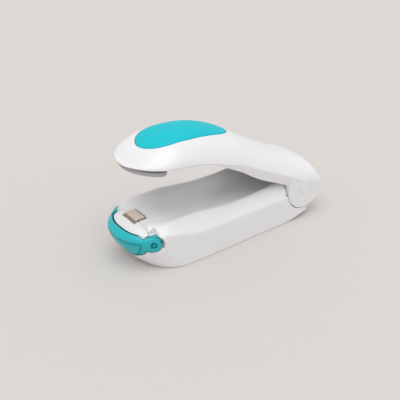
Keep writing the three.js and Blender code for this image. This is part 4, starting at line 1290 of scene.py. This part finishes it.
@dataclass
class BaseShell:
    """The white lower body."""

    lay: Layout
    hull: Hull
    seat: ClipSeat
    paint: Palette
    well_half: float = 4.8
    well_front: float = 1.7
    well_rear: float = 0.7
    guide_wall: float = 1.2
    guide_bottom: float = 10.4
    room_half: float = 8.2
    room_radius: float = 4.2
    bay_half: float = 16.4
    bay_upper_half: float = 13.8
    bay_step: float = 12.3
    slot_half: float = 3.6
    slot_radius: float = 4.1
    screw_half: float = 9.0
    screw_y: float = -33.2
    screw_top: float = 7.65

    def hinge_cuts(self) -> list[BMesh]:
        """Returns the room behind the bay, and the scoops that the lobes turn in."""
        lay, reach = self.lay, self.seat.reach
        floor = self.hull.keel(self.hull.tail_y) + lay.edge
        sweep = box_form((-reach, lay.bay_rear + lay.wall, lay.hinge_height + lay.edge),
                         (reach, lay.rear + lay.over, 2 * lay.platform))
        rear = box_form((-reach - 1, lay.hinge_y, floor),
                        (reach + 1, lay.rear + lay.over + 1, 2 * lay.platform + 1))
        scoops = []
        for side in SIDES:
            ends = span(side, lay.lobe_inner - lay.gap, reach + 2)
            scoops.append(bar_form(Axis.X, lay.scoop_radius, *ends, lay.hinge, Facets.SCOOP))
        return [sweep, rear, *scoops]

    def inside_cuts(self) -> list[BMesh]:
        """Returns the battery bay and the room under the heating strip."""
        lay = self.lay
        ceiling = lay.cell_z + lay.cell_radius + lay.gap
        front, rear = lay.bay_front, lay.bay_rear
        low = box_form((-self.bay_half, front, -lay.over), (self.bay_half, rear, self.bay_step))
        high = box_form((-self.bay_upper_half, front + 0.01, 0), (self.bay_upper_half, rear - 0.01, ceiling))
        room_rear = lay.heater_y + lay.heater_breadth / 2 + self.well_front + self.guide_wall + 2 * lay.gap
        top = lay.platform - lay.wall
        arc = [(lay.clip_y + self.room_radius * math.cos(math.radians(a)),
                lay.clip_height + self.room_radius * math.sin(math.radians(a))) for a in range(90, 231, 14)]
        outline = [(room_rear, -lay.over), (room_rear, top), (lay.clip_y + lay.wall, top), *arc,
                   (lay.clip_y - lay.edge, lay.clip_height - 2 * self.room_radius),
                   (lay.clip_y + lay.edge / 2, lay.plate),
                   (lay.front + self.hull.bow_overhang + lay.edge + lay.wall, -lay.over)]
        return [low, high, extruded_form(outline, -self.room_half, self.room_half, Axis.X)]

    def hinge_block(self) -> Object:
        """Builds the barrel between the lobes and the web that carries it."""
        lay = self.lay
        side = lay.lobe_inner - lay.gap
        centre = lay.hinge
        keel, tail = self.hull.keel, self.hull.tail_y
        outline = [
            (lay.bay_rear - 0.4, lay.dish), (lay.bay_rear - 0.4, keel(lay.bay_rear) + lay.edge),
            (tail - lay.edge, keel(tail) + lay.edge),
            (lay.hinge_y + lay.barrel_radius / 2, lay.hinge_height - lay.barrel_radius / 2),
            lay.hinge,
        ]
        web = object_of(extruded_form(outline, -side + 0.02, side - 0.02, Axis.X), "web")
        keep = object_of(box_form((-side - 1, lay.bay_rear - 0.5, 0), (side + 1, tail, lay.dish)), "keep")
        combine(keep, Join.ADD, [bar_form(Axis.X, lay.barrel_radius, -side, side, centre, Facets.BARREL)])
        combine(web, Join.MEET, [keep])
        barrel = object_of(bar_form(Axis.X, lay.barrel_radius, -side, side, centre, Facets.BARREL), "barrel")
        return combine(barrel, Join.ADD, [web])

    def spring_slot(self) -> list[Object]:
        """Returns the slot for the torsion spring, and the bore of the pin."""
        lay, half = self.lay, self.slot_half
        slot = object_of(bar_form(Axis.X, self.slot_radius, -half, half, lay.hinge, Facets.SLOT), "slot")
        front = box_form((-half + 0.02, lay.hinge_y - lay.barrel_radius - lay.over,
                          lay.hinge_height - self.slot_radius + 0.1),
                         (half - 0.02, lay.hinge_y, 2 * lay.platform))
        rear = box_form((-half + 0.04, lay.hinge_y - 0.5, lay.hinge_height),
                        (half - 0.04, lay.hinge_y + self.slot_radius - 0.4, 2 * lay.platform - 1))
        combine(slot, Join.ADD, [front, rear])
        bore = bar_form(Axis.X, lay.pin_radius + lay.gap / 3, -lay.half, lay.half, lay.hinge, Facets.SHAFT)
        return [slot, object_of(bore, "bore")]

    def plate_outline(self, gap: float) -> list[tuple[float, float]]:
        """Returns the outline of the base plate, shrunk by a gap."""
        lay, hull = self.lay, self.hull
        side = lay.half - lay.edge - lay.wall / 2 - gap
        front = lay.front + hull.bow_overhang + lay.edge + gap
        depth = hull.keel_nose_depth - lay.wall - gap
        rear = lay.bay_rear - gap
        along, round_nose, exponent = 24, 32, 2 / hull.nose_exponent
        places = [(side - lay.edge, rear)]
        places += [(side, mix(rear - lay.edge, front + depth, k / along)) for k in range(along)]
        for k in range(round_nose + 1):
            angle = math.pi / 2 * k / round_nose
            places.append((side * power(math.cos(angle), exponent),
                           front + depth * (1 - power(math.sin(angle), exponent))))
        right = [(x * hull.swell(y), y) for x, y in places]
        return right[:-1] + [(0.0, front)] + [(-x, y) for x, y in reversed(right[:-1])]

    def build(self) -> Object:
        """Builds and dresses the shell.

        Returns:
            The finished piece.
        """
        lay, seat = self.lay, self.seat
        shell = object_of(self.hull.form(), "base_body")
        combine(shell, Join.CUT, self.hinge_cuts() + self.inside_cuts())
        front = lay.heater_y - lay.heater_breadth / 2 - self.well_front
        rear = lay.heater_y + lay.heater_breadth / 2 + self.well_rear
        guide = box_form((-self.well_half - self.guide_wall, front - self.guide_wall, self.guide_bottom),
                         (self.well_half + self.guide_wall, rear + self.guide_wall,
                          lay.platform - lay.wall / 2))
        combine(shell, Join.ADD, [guide, self.hinge_block()])
        cuts = [seat.room(2 * lay.platform, 0.0), *(seat.step(side) for side in SIDES)]
        cuts += [seat.ear_block(side, seat.ear_inner - lay.gap, seat.reach, lay.gap) for side in SIDES]
        cuts.append(box_form((-self.well_half, front, self.guide_bottom - lay.gap),
                             (self.well_half, rear, 2 * lay.platform)))
        cuts.append(extruded_form(self.plate_outline(0.0), -lay.over, lay.plate))
        cuts += [bar_form(Axis.Z, BORE, 0.5, self.screw_top + lay.gap, (side * self.screw_half, self.screw_y),
                          Facets.BORE) for side in SIDES]
        cuts += [bar_form(Axis.X, seat.pin_radius + lay.gap / 3, *span(side, seat.inner_half, lay.half),
                          lay.pivot, Facets.BORE) for side in SIDES]
        combine(shell, Join.CUT, cuts + self.spring_slot())
        return dress(shell, Body.BASE, self.paint.white.material(), Slot.WHITE, ["base_shell"], 0.16, 38)


@dataclass
class SafetyClip:
    """The teal bow round the nose, and its pins."""

    lay: Layout
    hull: Hull
    seat: ClipSeat
    paint: Palette
    ridge: float = 13.4
    step: float = 0.4
    dimple_radius: float = 1.2
    dot_radius: float = 0.65
    dimple_depth: float = 0.45
    dimple_turn: float = math.radians(36)
    surface: float = 15.8

    def shave(self) -> Object:
        """Builds what is cut from the bow's front below its ridge."""
        lay, seat = self.lay, self.seat
        shave = object_of(box_form((-seat.reach, lay.front - 1, 0),
                                   (seat.reach, lay.clip_y - seat.corner - 0.2, self.ridge)), "shave")
        inner = object_of(self.hull.form(), "inner")
        inner.data.transform(Matrix.Diagonal((1 - self.step / lay.half, 1 - self.step / lay.rear, 1, 1)))
        return combine(shave, Join.CUT, [inner])

    def dimple(self, side: int) -> Object:
        """Builds the ring that is sunk round the raised dot on one ear."""
        depth, lay = self.dimple_depth, self.lay
        ring = object_of(bar_form(Axis.X, self.dimple_radius, -depth, 2.0, (0, 0), Facets.SHAFT), "ring")
        combine(ring, Join.CUT, [bar_form(Axis.X, self.dot_radius, -1.0, 3.0, (0, 0), Facets.DOT)])
        turn = Matrix.Rotation(-self.dimple_turn if side > 0 else math.pi + self.dimple_turn, 4, "Z")
        place = Matrix.Translation((side * self.surface * MM, lay.clip_y * MM, lay.clip_height * MM))
        ring.data.transform(place @ turn)
        return ring

    def build(self) -> None:
        """Builds the clip and its two pins."""
        lay, seat = self.lay, self.seat
        (y, z), rise, half = lay.pivot, 3 * seat.ear, seat.inner_half + 0.5
        outline = [(y + lay.over, z), (y, z), (y - rise, z + rise), (y + lay.over, z + rise)]
        place = combine(seat.room(seat.top, lay.gap), Join.CUT, [extruded_form(outline, -half, half, Axis.X)])
        ears = [seat.ear_block(side, seat.ear_inner, seat.reach + lay.edge, 0.0) for side in SIDES]
        clip = object_of(self.hull.form(), "safety_bow")
        combine(clip, Join.MEET, [combine(place, Join.ADD, ears)])
        end = seat.pin_outer + 0.1
        hole = bar_form(Axis.X, seat.pin_radius + lay.gap / 3, -end, end, lay.pivot, Facets.BORE)
        combine(clip, Join.CUT, [self.shave(), hole, *(self.dimple(side) for side in SIDES)])
        dress(clip, Body.CLIP, self.paint.clip.material(), Slot.CLIP, ["safety_clip"], 0.3, 32)
        for side, name in ((-1, "clip_pin_left"), (1, "clip_pin_right")):
            ends = span(side, seat.inner_half + lay.gap / 3, seat.pin_outer)
            form = bar_form(Axis.X, seat.pin_radius, *ends, lay.pivot, Facets.SHAFT, 0.2)
            pin = object_of(form, name.replace("clip", "bow"))
            dress(pin, Body.BASE, self.paint.steel.material(), Slot.STEEL, [name])


@dataclass
class ThumbPad:
    """The soft inlay on the arm's crown, and the recess that it lies in."""

    lay: Layout
    skin: ArmSkin
    paint: Palette
    setback: float = 13.8
    length: float = 42.6
    width: float = 19.7
    proud: float = 0.28
    rings: int = 12
    edge_round: float = 0.075
    edge: Table = ((0.0, -0.35), (0.0, -0.1), (0.1, 0.04), (0.35, 0.13), (1.0, 0.2), (1.8, 0.23), (3.0, 0.26))
    depth: float = 0.9
    around: int = 160
    plumpness: Curve = Curve(
        ((0.0, 1.27), (0.014, 1.28), (0.056, 1.3), (0.123, 1.26), (0.21, 1.18), (0.315, 1.066), (0.43, 1.01),
         (0.55, 0.975), (0.665, 0.975), (0.77, 1.01), (0.865, 1.068), (0.935, 1.095), (0.98, 1.075),
         (1.0, 1.06)),
        0.03)

    def outline(self, u: float, gap: float) -> tuple[float, float]:
        """Returns a point of the outline, grown by a gap."""
        angle = 2 * math.pi * u
        along = (1 - math.cos(angle)) / 2
        half = self.plumpness(along) * math.sin(angle) * self.width / 2
        start = self.lay.front + self.setback
        x = half + gap * math.sin(angle)
        return (x, start + along * self.length - gap * math.cos(angle))

    def layer(self, rings: list[tuple[float, float]], gap: float) -> BMesh:
        """Builds a closed body over the arm's crown.

        Args:
            rings: shares of the outline from the middle below, out, and back to the middle above, each
                with its height over the skin.
            gap: how much the outline is grown.

        Returns:
            The mesh in millimetres.
        """
        middle_y = self.lay.front + self.setback + self.length / 2
        count = len(rings) - 1

        def place(u: float, v: float) -> Point:
            share, lift = rings[round(v * count)]
            x, y = self.outline(u % 1.0, gap)
            x, y = x * share, mix(middle_y, y, share)
            return (x, y, self.skin.top(x, y) + lift)

        return grid_form(self.around, count, place)

    def recess(self) -> BMesh:
        """Returns what the pad's recess cuts from the arm."""
        floor = -self.depth - self.lay.gap
        above = 1.5
        rings = [(k / self.rings, floor) for k in range(self.rings + 1)]
        rings += [(1.0, floor / 2), (1.0, 0.0), (1.0, above)] + [(k / 6, above) for k in range(5, -1, -1)]
        return self.layer(rings, self.lay.gap)

    def build(self) -> Object:
        """Builds and dresses the pad.

        Returns:
            The finished piece.
        """
        rings = [(k / self.rings * (1 - 0.02), -self.depth) for k in range(self.rings + 1)]
        rings.append((1.0, -self.depth + 0.2))
        rings += [(1 - place * self.edge_round, lift) for place, lift in self.edge]
        rings += [(k / self.rings, self.proud) for k in range(8, -1, -1)]
        pad = object_of(self.layer(rings, 0.0), "thumb_inlay")
        return dress(pad, Body.ARM, self.paint.pad.material(), Slot.PAD, ["thumb_pad"], 0.0, 50)


@dataclass
class PressFoot:
    """The plate under the arm's nose that carries the press pad."""

    lay: Layout
    skin: ArmSkin
    paint: Palette
    inset: float = 1.5
    length: float = 14.6
    corner: float = 4.5
    tilt: float = math.radians(10)
    rise: float = 0.2
    thickness: float = 1.7
    neck_inset: float = 3.6
    neck: float = 1.6
    screw_x: float = 9.2
    screw_setback: float = 1.6
    screw_reach: float = 2.2
    pad_length: float = 12.0
    pad_breadth: float = 4.8
    pad_thickness: float = 2.0
    post_radius: float = 2.6

    @property
    def pad_z(self) -> float:
        """The height of the closed press pad's face."""
        return self.lay.heater_top + self.lay.gap

    @property
    def bottom(self) -> float:
        """The height of the closed foot's underside."""
        return self.pad_z + self.rise

    @property
    def screw_y(self) -> float:
        """The y of the closed foot's screws."""
        return self.lay.heater_y - self.screw_setback

    def tip(self) -> float:
        """Returns the y of the arm's tip once it is closed."""
        lay, skin = self.lay, self.skin
        back = skin.nose - lay.hinge_y
        up = skin.nose_rise * skin.height - lay.hinge_height
        return lay.hinge_y + back * math.cos(skin.close_angle) - up * math.sin(skin.close_angle)

    def plan(self, inset: float) -> list[tuple[float, float]]:
        """Returns the foot's outline, set in from the arm's nose."""
        tip = self.tip()
        front, rear = tip + inset, tip + self.length + self.inset - inset
        side, depth = self.skin.nose_half - inset, self.skin.nose_depth - inset
        start = math.asin(1 - (rear - front) / depth)
        points = []
        steps = 96
        for k in range(steps + 1):
            angle = mix(start, math.pi - start, (1 - math.cos(math.pi * k / steps)) / 2)
            x, y = -side * math.cos(angle), front + depth * (1 - math.sin(angle))
            over = clamp(y - (rear - self.corner), 0.0, self.corner)
            turned = self.corner - math.sqrt(self.corner**2 - over**2)
            points.append((x - math.copysign(turned, x), y))
        return points

    def open_up(self, form: BMesh) -> BMesh:
        """Tips a form forward about the pad's front edge and turns it up with the arm, and returns it."""
        y = self.lay.heater_y - self.pad_breadth / 2
        place = Matrix.Translation((0, y, self.bottom))
        turn = place @ Matrix.Rotation(self.tilt, 4, "X") @ place.inverted()
        bmesh.ops.transform(form, matrix=turn, verts=form.verts)
        return self.skin.open_up(form)

    def body(self, gap: float, rounding: float = 0.0) -> list[BMesh]:
        """Returns the foot's plate and neck, grown by a gap, on the open arm."""
        plate = extruded_form(self.plan(self.inset - gap), self.bottom - gap,
                              self.bottom + self.thickness + gap, Axis.Z, rounding)
        neck = extruded_form(self.plan(self.inset + self.neck_inset - gap), self.bottom + 0.3,
                             self.bottom + self.thickness + self.neck + gap)
        return [self.open_up(plate), self.open_up(neck)]

    def bar(self, side: int, radius: float, low: float, high: float) -> BMesh:
        """Returns an upright bar at one of the foot's screws, on the open arm."""
        centre = (side * self.screw_x, self.screw_y)
        return self.open_up(bar_form(Axis.Z, radius, low, high, centre, Facets.SHAFT))

    def pad_box(self, gap: float, rounding: float) -> BMesh:
        """Returns the press pad, grown by a gap, on the open arm."""
        half, reach = self.pad_length / 2 + gap, self.pad_breadth / 2 + gap
        y, low = self.lay.heater_y, self.pad_z - (self.lay.over if gap else 0)
        high = self.pad_z + self.pad_thickness + gap / 2
        return self.skin.open_up(box_form((-half, y - reach, low), (half, y + reach, high), rounding))

    def build(self) -> None:
        """Builds the foot, its pad and its two screws."""
        plate, neck = self.body(0.0, 0.4)
        foot = object_of(plate, "foot_plate")
        combine(foot, Join.ADD, [neck])
        z = self.bottom + self.lay.gap
        cuts = [self.bar(side, BORE, 0, 3 * self.lay.platform) for side in SIDES]
        cuts += [self.bar(side, SINK, 0, z + 1) for side in SIDES]
        combine(foot, Join.CUT, [*cuts, self.pad_box(self.lay.gap / 3, 0.0)])
        dress(foot, Body.ARM, self.paint.inner.material(), Slot.INNER, ["press_foot"], 0.2, 40)
        pad = object_of(self.pad_box(0.0, 0.45), "silicone_press")
        dress(pad, Body.ARM, self.paint.rubber.material(), Slot.RUBBER, ["press_pad"])
        length = self.thickness + self.neck + self.screw_reach
        for side, name in ((-1, "foot_screw_left"), (1, "foot_screw_right")):
            form = screw_form(side * self.screw_x, self.screw_y, z, length)
            dress_screw(self.open_up(form), name, Body.ARM, self.paint)


def screw_form(x: float, y: float, z: float, length: float) -> BMesh:
    """Makes a pan screw with a cross recess, its head below.

    Args:
        x: the x of its axis.
        y: the y of its axis.
        z: the height of the head's face.
        length: its whole length.

    Returns:
        The closed mesh.
    """
    head, shank, reach, half = 2.1, 1.1, 1.05, 0.3
    screw = object_of(bar_form(Axis.Z, head, z, z + 1, (x, y), Facets.SHAFT, 0.3), "screw")
    combine(screw, Join.ADD, [bar_form(Axis.Z, shank, z + 0.5, z + length, (x, y), Facets.DOT, 0.25)])
    combine(screw, Join.CUT, [box_form((x - wide, y - long, z - 1), (x + wide, y + long, z + 0.5))
                              for wide, long in ((reach, half), (half, reach))])
    form = bmesh.new()
    form.from_mesh(screw.data)
    bmesh.ops.scale(form, vec=(1 / MM, 1 / MM, 1 / MM), verts=form.verts)
    bpy.data.objects.remove(screw)
    return form


def dress_screw(form: BMesh, name: str, body: Body, paint: Palette) -> None:
    """Makes and dresses the screw that stands for a CAD node."""
    screw = object_of(form, name.replace("screw", "fixing"))
    dress(screw, body, paint.steel.material(), Slot.STEEL, [name], 0.0, 40)


@dataclass
class ArmShell:
    """The white arm with its lobes, and its liner, caps and pin."""

    lay: Layout
    skin: ArmSkin
    pad: ThumbPad
    foot: PressFoot
    paint: Palette
    cap_radius: float = 3.6
    cap_depth: float = 2.0
    cap_seam: float = 0.06
    liner: float = 1.4
    liner_start: float = 0.245
    screw_setbacks: tuple[float, float] = (34.0, 62.0)
    screw_length: float = 7.0
    post_radius: float = 2.6

    def level_open(self, closed: float, y: float) -> float:
        """Returns the height, on the open arm, of a plane that is level on the closed arm."""
        lay, angle = self.lay, self.skin.close_angle
        return (lay.hinge_height - (y - lay.hinge_y) * math.tan(angle)
                + (closed - lay.hinge_height) / math.cos(angle))

    def liner_low(self, y: float) -> float:
        """Returns the height of the liner's lower face."""
        return max(self.skin.hem(y) + self.lay.edge, self.level_open(self.foot.bottom, y))

    def liner_band(self, depth: float, gap: float) -> BMesh:
        """Returns the band across the arm that the liner fills, carried down by a depth and up by a gap."""
        lay = self.lay
        start, end, steps = lay.at(self.liner_start), lay.bay_rear - lay.wall, 60
        places = [mix(start, end, k / steps) for k in range(steps + 1)]
        low = [(y, self.liner_low(y) - depth) for y in places]
        high = [(y, self.liner_low(y) + self.liner + gap) for y in reversed(places)]
        return extruded_form([*low, *high], -lay.half, lay.half, Axis.X)

    def build(self) -> None:
        """Builds the arm and what is fixed to it."""
        self.build_shell()
        self.build_liner()
        self.build_hinge()

    def within(self, form: BMesh, inset: float, drop: float) -> Object:
        """Builds what a form shares with the arm's skin, set in and lowered."""
        skin = self.skin.form(inset, drop, 2 * self.skin.height)
        return combine(object_of(form, "part"), Join.MEET, [skin])

    def added(self) -> list[Object]:
        """Builds the lobes and the screws' posts."""
        lay, skin, foot = self.lay, self.skin, self.foot
        flank, ceiling, tall = skin.flank / 2, skin.ceiling / 2, 2 * skin.height
        parts = []
        for side in SIDES:
            ends = span(side, lay.lobe_inner, lay.half - lay.gap / 2)
            lobe = bar_form(Axis.X, lay.lobe_radius, *ends, lay.hinge, Facets.LOBE)
            parts.append(self.within(lobe, lay.gap / 5, lay.gap / 5))
        for setback in self.screw_setbacks:
            post = bar_form(Axis.Z, self.post_radius, 0, tall, (0, lay.front + setback), Facets.SHAFT)
            part = self.within(post, flank, ceiling)
            parts.append(combine(part, Join.CUT, [self.liner_band(tall, lay.gap)]))
        low = foot.bottom + foot.thickness + foot.neck + lay.gap
        for side in SIDES:
            parts.append(self.within(foot.bar(side, foot.post_radius, low, 2 * lay.platform), flank, ceiling))
        return parts

    def build_shell(self) -> None:
        """Builds and dresses the arm's shell."""
        lay, skin, foot = self.lay, self.skin, self.foot
        shell = object_of(skin.form(), "arm_cover")
        hollow = skin.form(skin.flank, skin.ceiling, 2 * skin.height, lay.share(lay.hinge_y))
        combine(shell, Join.CUT, [hollow, self.pad.recess(), *foot.body(lay.gap)])
        combine(shell, Join.ADD, self.added())
        inner, bore = lay.lobe_inner, lay.pin_radius + lay.gap / 3
        cuts = [bar_form(Axis.X, lay.barrel_radius + lay.gap, -inner, inner, lay.hinge, Facets.BARREL),
                bar_form(Axis.X, bore, -lay.half, lay.half, lay.hinge, Facets.SHAFT)]
        for side in SIDES:
            ends = span(side, lay.half - self.cap_depth, lay.half + lay.over)
            cuts.append(bar_form(Axis.X, self.cap_radius + self.cap_seam, *ends, lay.hinge, Facets.SLOT))
        for setback in self.screw_setbacks:
            y = lay.front + setback
            end = self.liner_low(y) + self.screw_length + lay.edge
            cuts.append(bar_form(Axis.Z, BORE, 0, end, (0, y), Facets.BORE))
        end = foot.bottom + foot.thickness + foot.neck + foot.screw_reach + 2 * lay.gap
        cuts += [foot.bar(side, BORE, 0, end) for side in SIDES]
        combine(shell, Join.CUT, cuts)
        dress(shell, Body.ARM, self.paint.white.material(), Slot.WHITE, ["arm_shell"], 0.0, 34)

    def build_liner(self) -> None:
        """Builds the liner and its two screws."""
        lay, skin = self.lay, self.skin
        tall = 2 * skin.height
        liner = object_of(self.liner_band(0.0, 0.0), "arm_inside")
        names = ("arm_screw_front", "arm_screw_rear")
        for name, setback in zip(names, self.screw_setbacks):
            y = lay.front + setback
            low = self.liner_low(y)
            hole = object_of(bar_form(Axis.Z, BORE, low - 5, low + 6, (0, y), Facets.BORE), "hole")
            combine(hole, Join.ADD, [bar_form(Axis.Z, SINK, low - 4, low + 1, (0, y), Facets.SHAFT)])
            combine(liner, Join.CUT, [hole])
            dress_screw(screw_form(0, y, low, self.screw_length), name, Body.ARM, self.paint)
        combine(liner, Join.MEET, [skin.form(skin.flank + lay.gap, skin.ceiling + lay.gap, tall)])
        dress(liner, Body.ARM, self.paint.inner.material(), Slot.INNER, ["arm_liner"], 0.15, 36)

    def build_hinge(self) -> None:
        """Builds the pin and the two caps."""
        lay = self.lay
        centre = lay.hinge
        end = lay.half - self.cap_depth - lay.gap
        pin = object_of(bar_form(Axis.X, lay.pin_radius, -end, end, centre, Facets.PIN, 0.25), "hinge_axle")
        dress(pin, Body.ARM, self.paint.steel.material(), Slot.STEEL, ["hinge_pin"])
        for side, name in ((-1, "hinge_cap_left"), (1, "hinge_cap_right")):
            ends = span(side, lay.half - self.cap_depth + lay.gap / 3, lay.half - lay.gap / 2 - 0.05)
            form = bar_form(Axis.X, self.cap_radius, *ends, centre, Facets.DISC, 0.08)
            cap = object_of(form, name.replace("cap", "plug"))
            dress(cap, Body.ARM, self.paint.white.material(), Slot.WHITE, [name])


@dataclass
class HeatingStrip:
    """The tape over the heating ribbon, and the roll that holds its front edge."""

    lay: Layout
    paint: Palette
    thickness: float = 0.3
    drop: float = 4.0
    rounding: float = 0.75
    rod_radius: float = 0.55
    rod_half: float = 4.5
    rod_setback: float = 0.85

    def build(self) -> None:
        """Builds the tape and its roll."""
        lay = self.lay
        half, top = lay.heater_breadth / 2, lay.heater_top
        outline = self.arch(half, top, self.rounding)
        outline += list(reversed(self.arch(half - self.thickness, top - self.thickness, self.rounding - 0.2)))
        end = lay.heater_length / 2 - lay.gap
        tape = object_of(extruded_form(outline, -end, end, Axis.X), "woven_cover")
        dress(tape, Body.STRIP, self.paint.tape.material(), Slot.TAPE, ["heater_tape"], 0.0, 50)
        y = lay.heater_y - half - self.rod_setback
        rod = bar_form(Axis.X, self.rod_radius, -self.rod_half, self.rod_half,
                       (y, lay.platform - 2.2 * self.rod_radius), Facets.PIN, 0.12)
        dress(object_of(rod, "rolled_edge"), Body.STRIP, self.paint.roll.material(), Slot.TAPE, ["tape_rod"])

    def arch(self, half: float, top: float, rounding: float) -> list[tuple[float, float]]:
        """Returns one face of the tape's section, from its front edge over to its rear edge."""
        lay = self.lay
        low = lay.heater_top - self.drop
        points = [(lay.heater_y - half, low)]
        steps = 8
        for side, start in ((-1, math.pi), (1, math.pi / 2)):
            y = lay.heater_y + side * half - side * rounding
            for k in range(steps + 1):
                angle = start - math.pi / 2 * k / steps
                points.append((y + rounding * math.cos(angle), top - rounding + rounding * math.sin(angle)))
        return [*points, (lay.heater_y + half, low)]


@dataclass
class Underside:
    """The base plate, the battery door and their screws."""

    lay: Layout
    shell: BaseShell
    paint: Palette
    recess: float = 0.2
    clear: float = 3.0
    door_half: float = 13.4
    door_front: float = -26.42
    door_rear: float = 19.18
    door_travel: float = 3.0
    lip: float = 3.6
    lip_thickness: float = 0.6
    door_thickness: float = 1.3

    def build(self) -> None:
        """Builds the plate, the door and the two screws."""
        lay, shell = self.lay, self.shell
        outline = shell.plate_outline(lay.gap / 2)
        plate = object_of(extruded_form(outline, 0.0, lay.plate, Axis.Z, 0.2), "floor_plate")
        wide = self.door_half + lay.gap
        end = self.door_rear + self.door_travel + lay.gap
        cuts = [box_form((-wide, self.door_front - lay.gap, -self.clear), (wide, end, self.clear))]
        cuts.append(box_form((-wide + 0.005, self.door_rear, -self.clear - 0.1),
                             (wide - 0.005, end + self.lip, self.recess + self.lip_thickness + lay.gap / 2)))
        places = [(side * shell.screw_half, shell.screw_y) for side in SIDES]
        cuts += [bar_form(Axis.Z, BORE, -self.clear, self.clear, place, Facets.BORE) for place in places]
        cuts += [bar_form(Axis.Z, SINK, -self.clear - 0.2, self.recess + 1, place, Facets.SHAFT)
                 for place in places]
        combine(plate, Join.CUT, cuts)
        dress(plate, Body.BASE, self.paint.inner.material(), Slot.INNER, ["base_plate"], 0.12, 36)
        panel = box_form((-self.door_half, self.door_front, self.recess),
                         (self.door_half, self.door_rear, self.recess + self.door_thickness))
        lip = box_form((-self.door_half + 0.01, self.door_rear - self.lip, self.recess),
                       (self.door_half - 0.01, self.door_rear + self.lip, self.recess + self.lip_thickness))
        door = object_of(panel, "battery_lid")
        combine(door, Join.ADD, [lip])
        grips = [box_form((-self.door_half / 3, self.door_front + 3 + 1.8 * k, -self.clear),
                          (self.door_half / 3, self.door_front + 3.9 + 1.8 * k, self.recess + 0.45))
                 for k in range(4)]
        combine(door, Join.CUT, grips)
        dress(door, Body.DOOR, self.paint.inner.material(), Slot.INNER, ["battery_door"], 0.12, 36)
        for side, name in ((-1, "base_screw_left"), (1, "base_screw_right")):
            length = shell.screw_top - self.recess
            form = screw_form(side * shell.screw_half, shell.screw_y, self.recess, length)
            dress_screw(form, name, Body.BASE, self.paint)


def dress_inside(paint: Palette) -> None:
    """Gives the CAD nodes that stay in use their finishes.

    Args:
        paint: the finishes.
    """
    finishes = {
        paint.phenolic: ("heater_carrier",),
        paint.nickel: ("heater_ribbon", "switch_bar", "switch_contact_left", "switch_contact_right",
                       "contact_left", "contact_right", "contact_bridge"),
        paint.spring: ("heater_spring_left", "heater_spring_right", "contact_spring_left",
                       "contact_spring_right", "torsion_spring"),
        paint.cell: ("battery_cell_left", "battery_cell_right"),
        paint.red: ("lead_red",),
        paint.black: ("lead_black", "lead_link"),
    }
    for name, finish in ((name, finish) for finish, names in finishes.items() for name in names):
        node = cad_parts[name]
        node.data.materials.clear()
        node.data.materials.append(finish.material())
        LOG.info("%s keeps its shape", name)


@dataclass
class Studio:
    """The pale floor, the soft light and the camera."""

    floor: Colour = (0.676, 0.64, 0.615)
    sky: float = 0.68
    sun: float = 1.3
    sun_angle: float = math.radians(58)
    sun_from: Point = (0.22, -0.16, 1.0)
    azimuth: float = math.radians(53)
    elevation: float = math.radians(31)
    distance: float = 0.34125
    lens: float = 67.095
    shift: tuple[float, float] = (-0.03125, 0.0655)
    aim: Point = (0.0, 0.0004, 0.0)
    floor_half: float = 3000.0

    def build(self) -> None:
        """Builds the studio."""
        self.build_floor()
        self.build_light()
        self.build_camera()

    def build_floor(self) -> None:
        """Lays the floor."""
        form = bmesh.new()
        bmesh.ops.create_grid(form, x_segments=4, y_segments=4, size=self.floor_half)
        floor = object_of(form, "floor")

        def shade(graph: Graph, vector: NodeSocket) -> Node:
            values = {"Vector": vector, "Light": (*self.floor, 1.0), "Deep": shaded(self.floor, 0.998)}
            colour = graph.group(tone_group(), values).outputs["Colour"]
            values = {"Base Color": colour, "Roughness": 0.9, "Specular IOR Level": 0.0}
            return graph.add("BsdfPrincipled", values)

        floor.data.materials.append(surface("studio floor", shade))

    def build_light(self) -> None:
        """Lights the scene with a pale sky and one wide lamp."""
        world = bpy.data.worlds.new("studio sky")
        world.use_nodes = True
        back = world.node_tree.nodes["Background"]
        back.inputs["Color"].default_value = (1.0, 1.0, 1.0, 1.0)
        back.inputs["Strength"].default_value = self.sky
        bpy.context.scene.world = world
        lamp = bpy.data.lights.new("key", "SUN")
        lamp.energy = self.sun
        lamp.angle = self.sun_angle
        key = bpy.data.objects.new("key", lamp)
        key.rotation_euler = Vector(self.sun_from).to_track_quat("Z", "Y").to_euler()
        bpy.context.scene.collection.objects.link(key)

    def build_camera(self) -> None:
        """Places the camera as the photo was taken."""
        back = Vector((math.sin(self.azimuth) * math.cos(self.elevation),
                       -math.cos(self.azimuth) * math.cos(self.elevation), math.sin(self.elevation)))
        data = bpy.data.cameras.new("camera")
        data.lens = self.lens
        data.sensor_width = 36.0
        data.shift_x, data.shift_y = self.shift
        data.clip_end = 50.0
        camera = bpy.data.objects.new("camera", data)
        camera.location = Vector(self.aim) + back * self.distance
        camera.rotation_euler = (-back).to_track_quat("-Z", "Y").to_euler()
        bpy.context.scene.collection.objects.link(camera)
        bpy.context.scene.camera = camera
        bpy.context.scene.view_settings.view_transform = "Standard"


def main() -> None:
    """Builds the sealer and its studio."""
    lay = Layout()
    paint = Palette()
    hull = Hull(lay)
    seat = ClipSeat(lay)
    skin = ArmSkin(lay)
    shell = BaseShell(lay, hull, seat, paint)
    pad = ThumbPad(lay, skin, paint)
    foot = PressFoot(lay, skin, paint)
    shell.build()
    SafetyClip(lay, hull, seat, paint).build()
    ArmShell(lay, skin, pad, foot, paint).build()
    pad.build()
    foot.build()
    HeatingStrip(lay, paint).build()
    Underside(lay, shell, paint).build()
    dress_inside(paint)
    Studio().build()


if __name__ == "__main__":
    main()
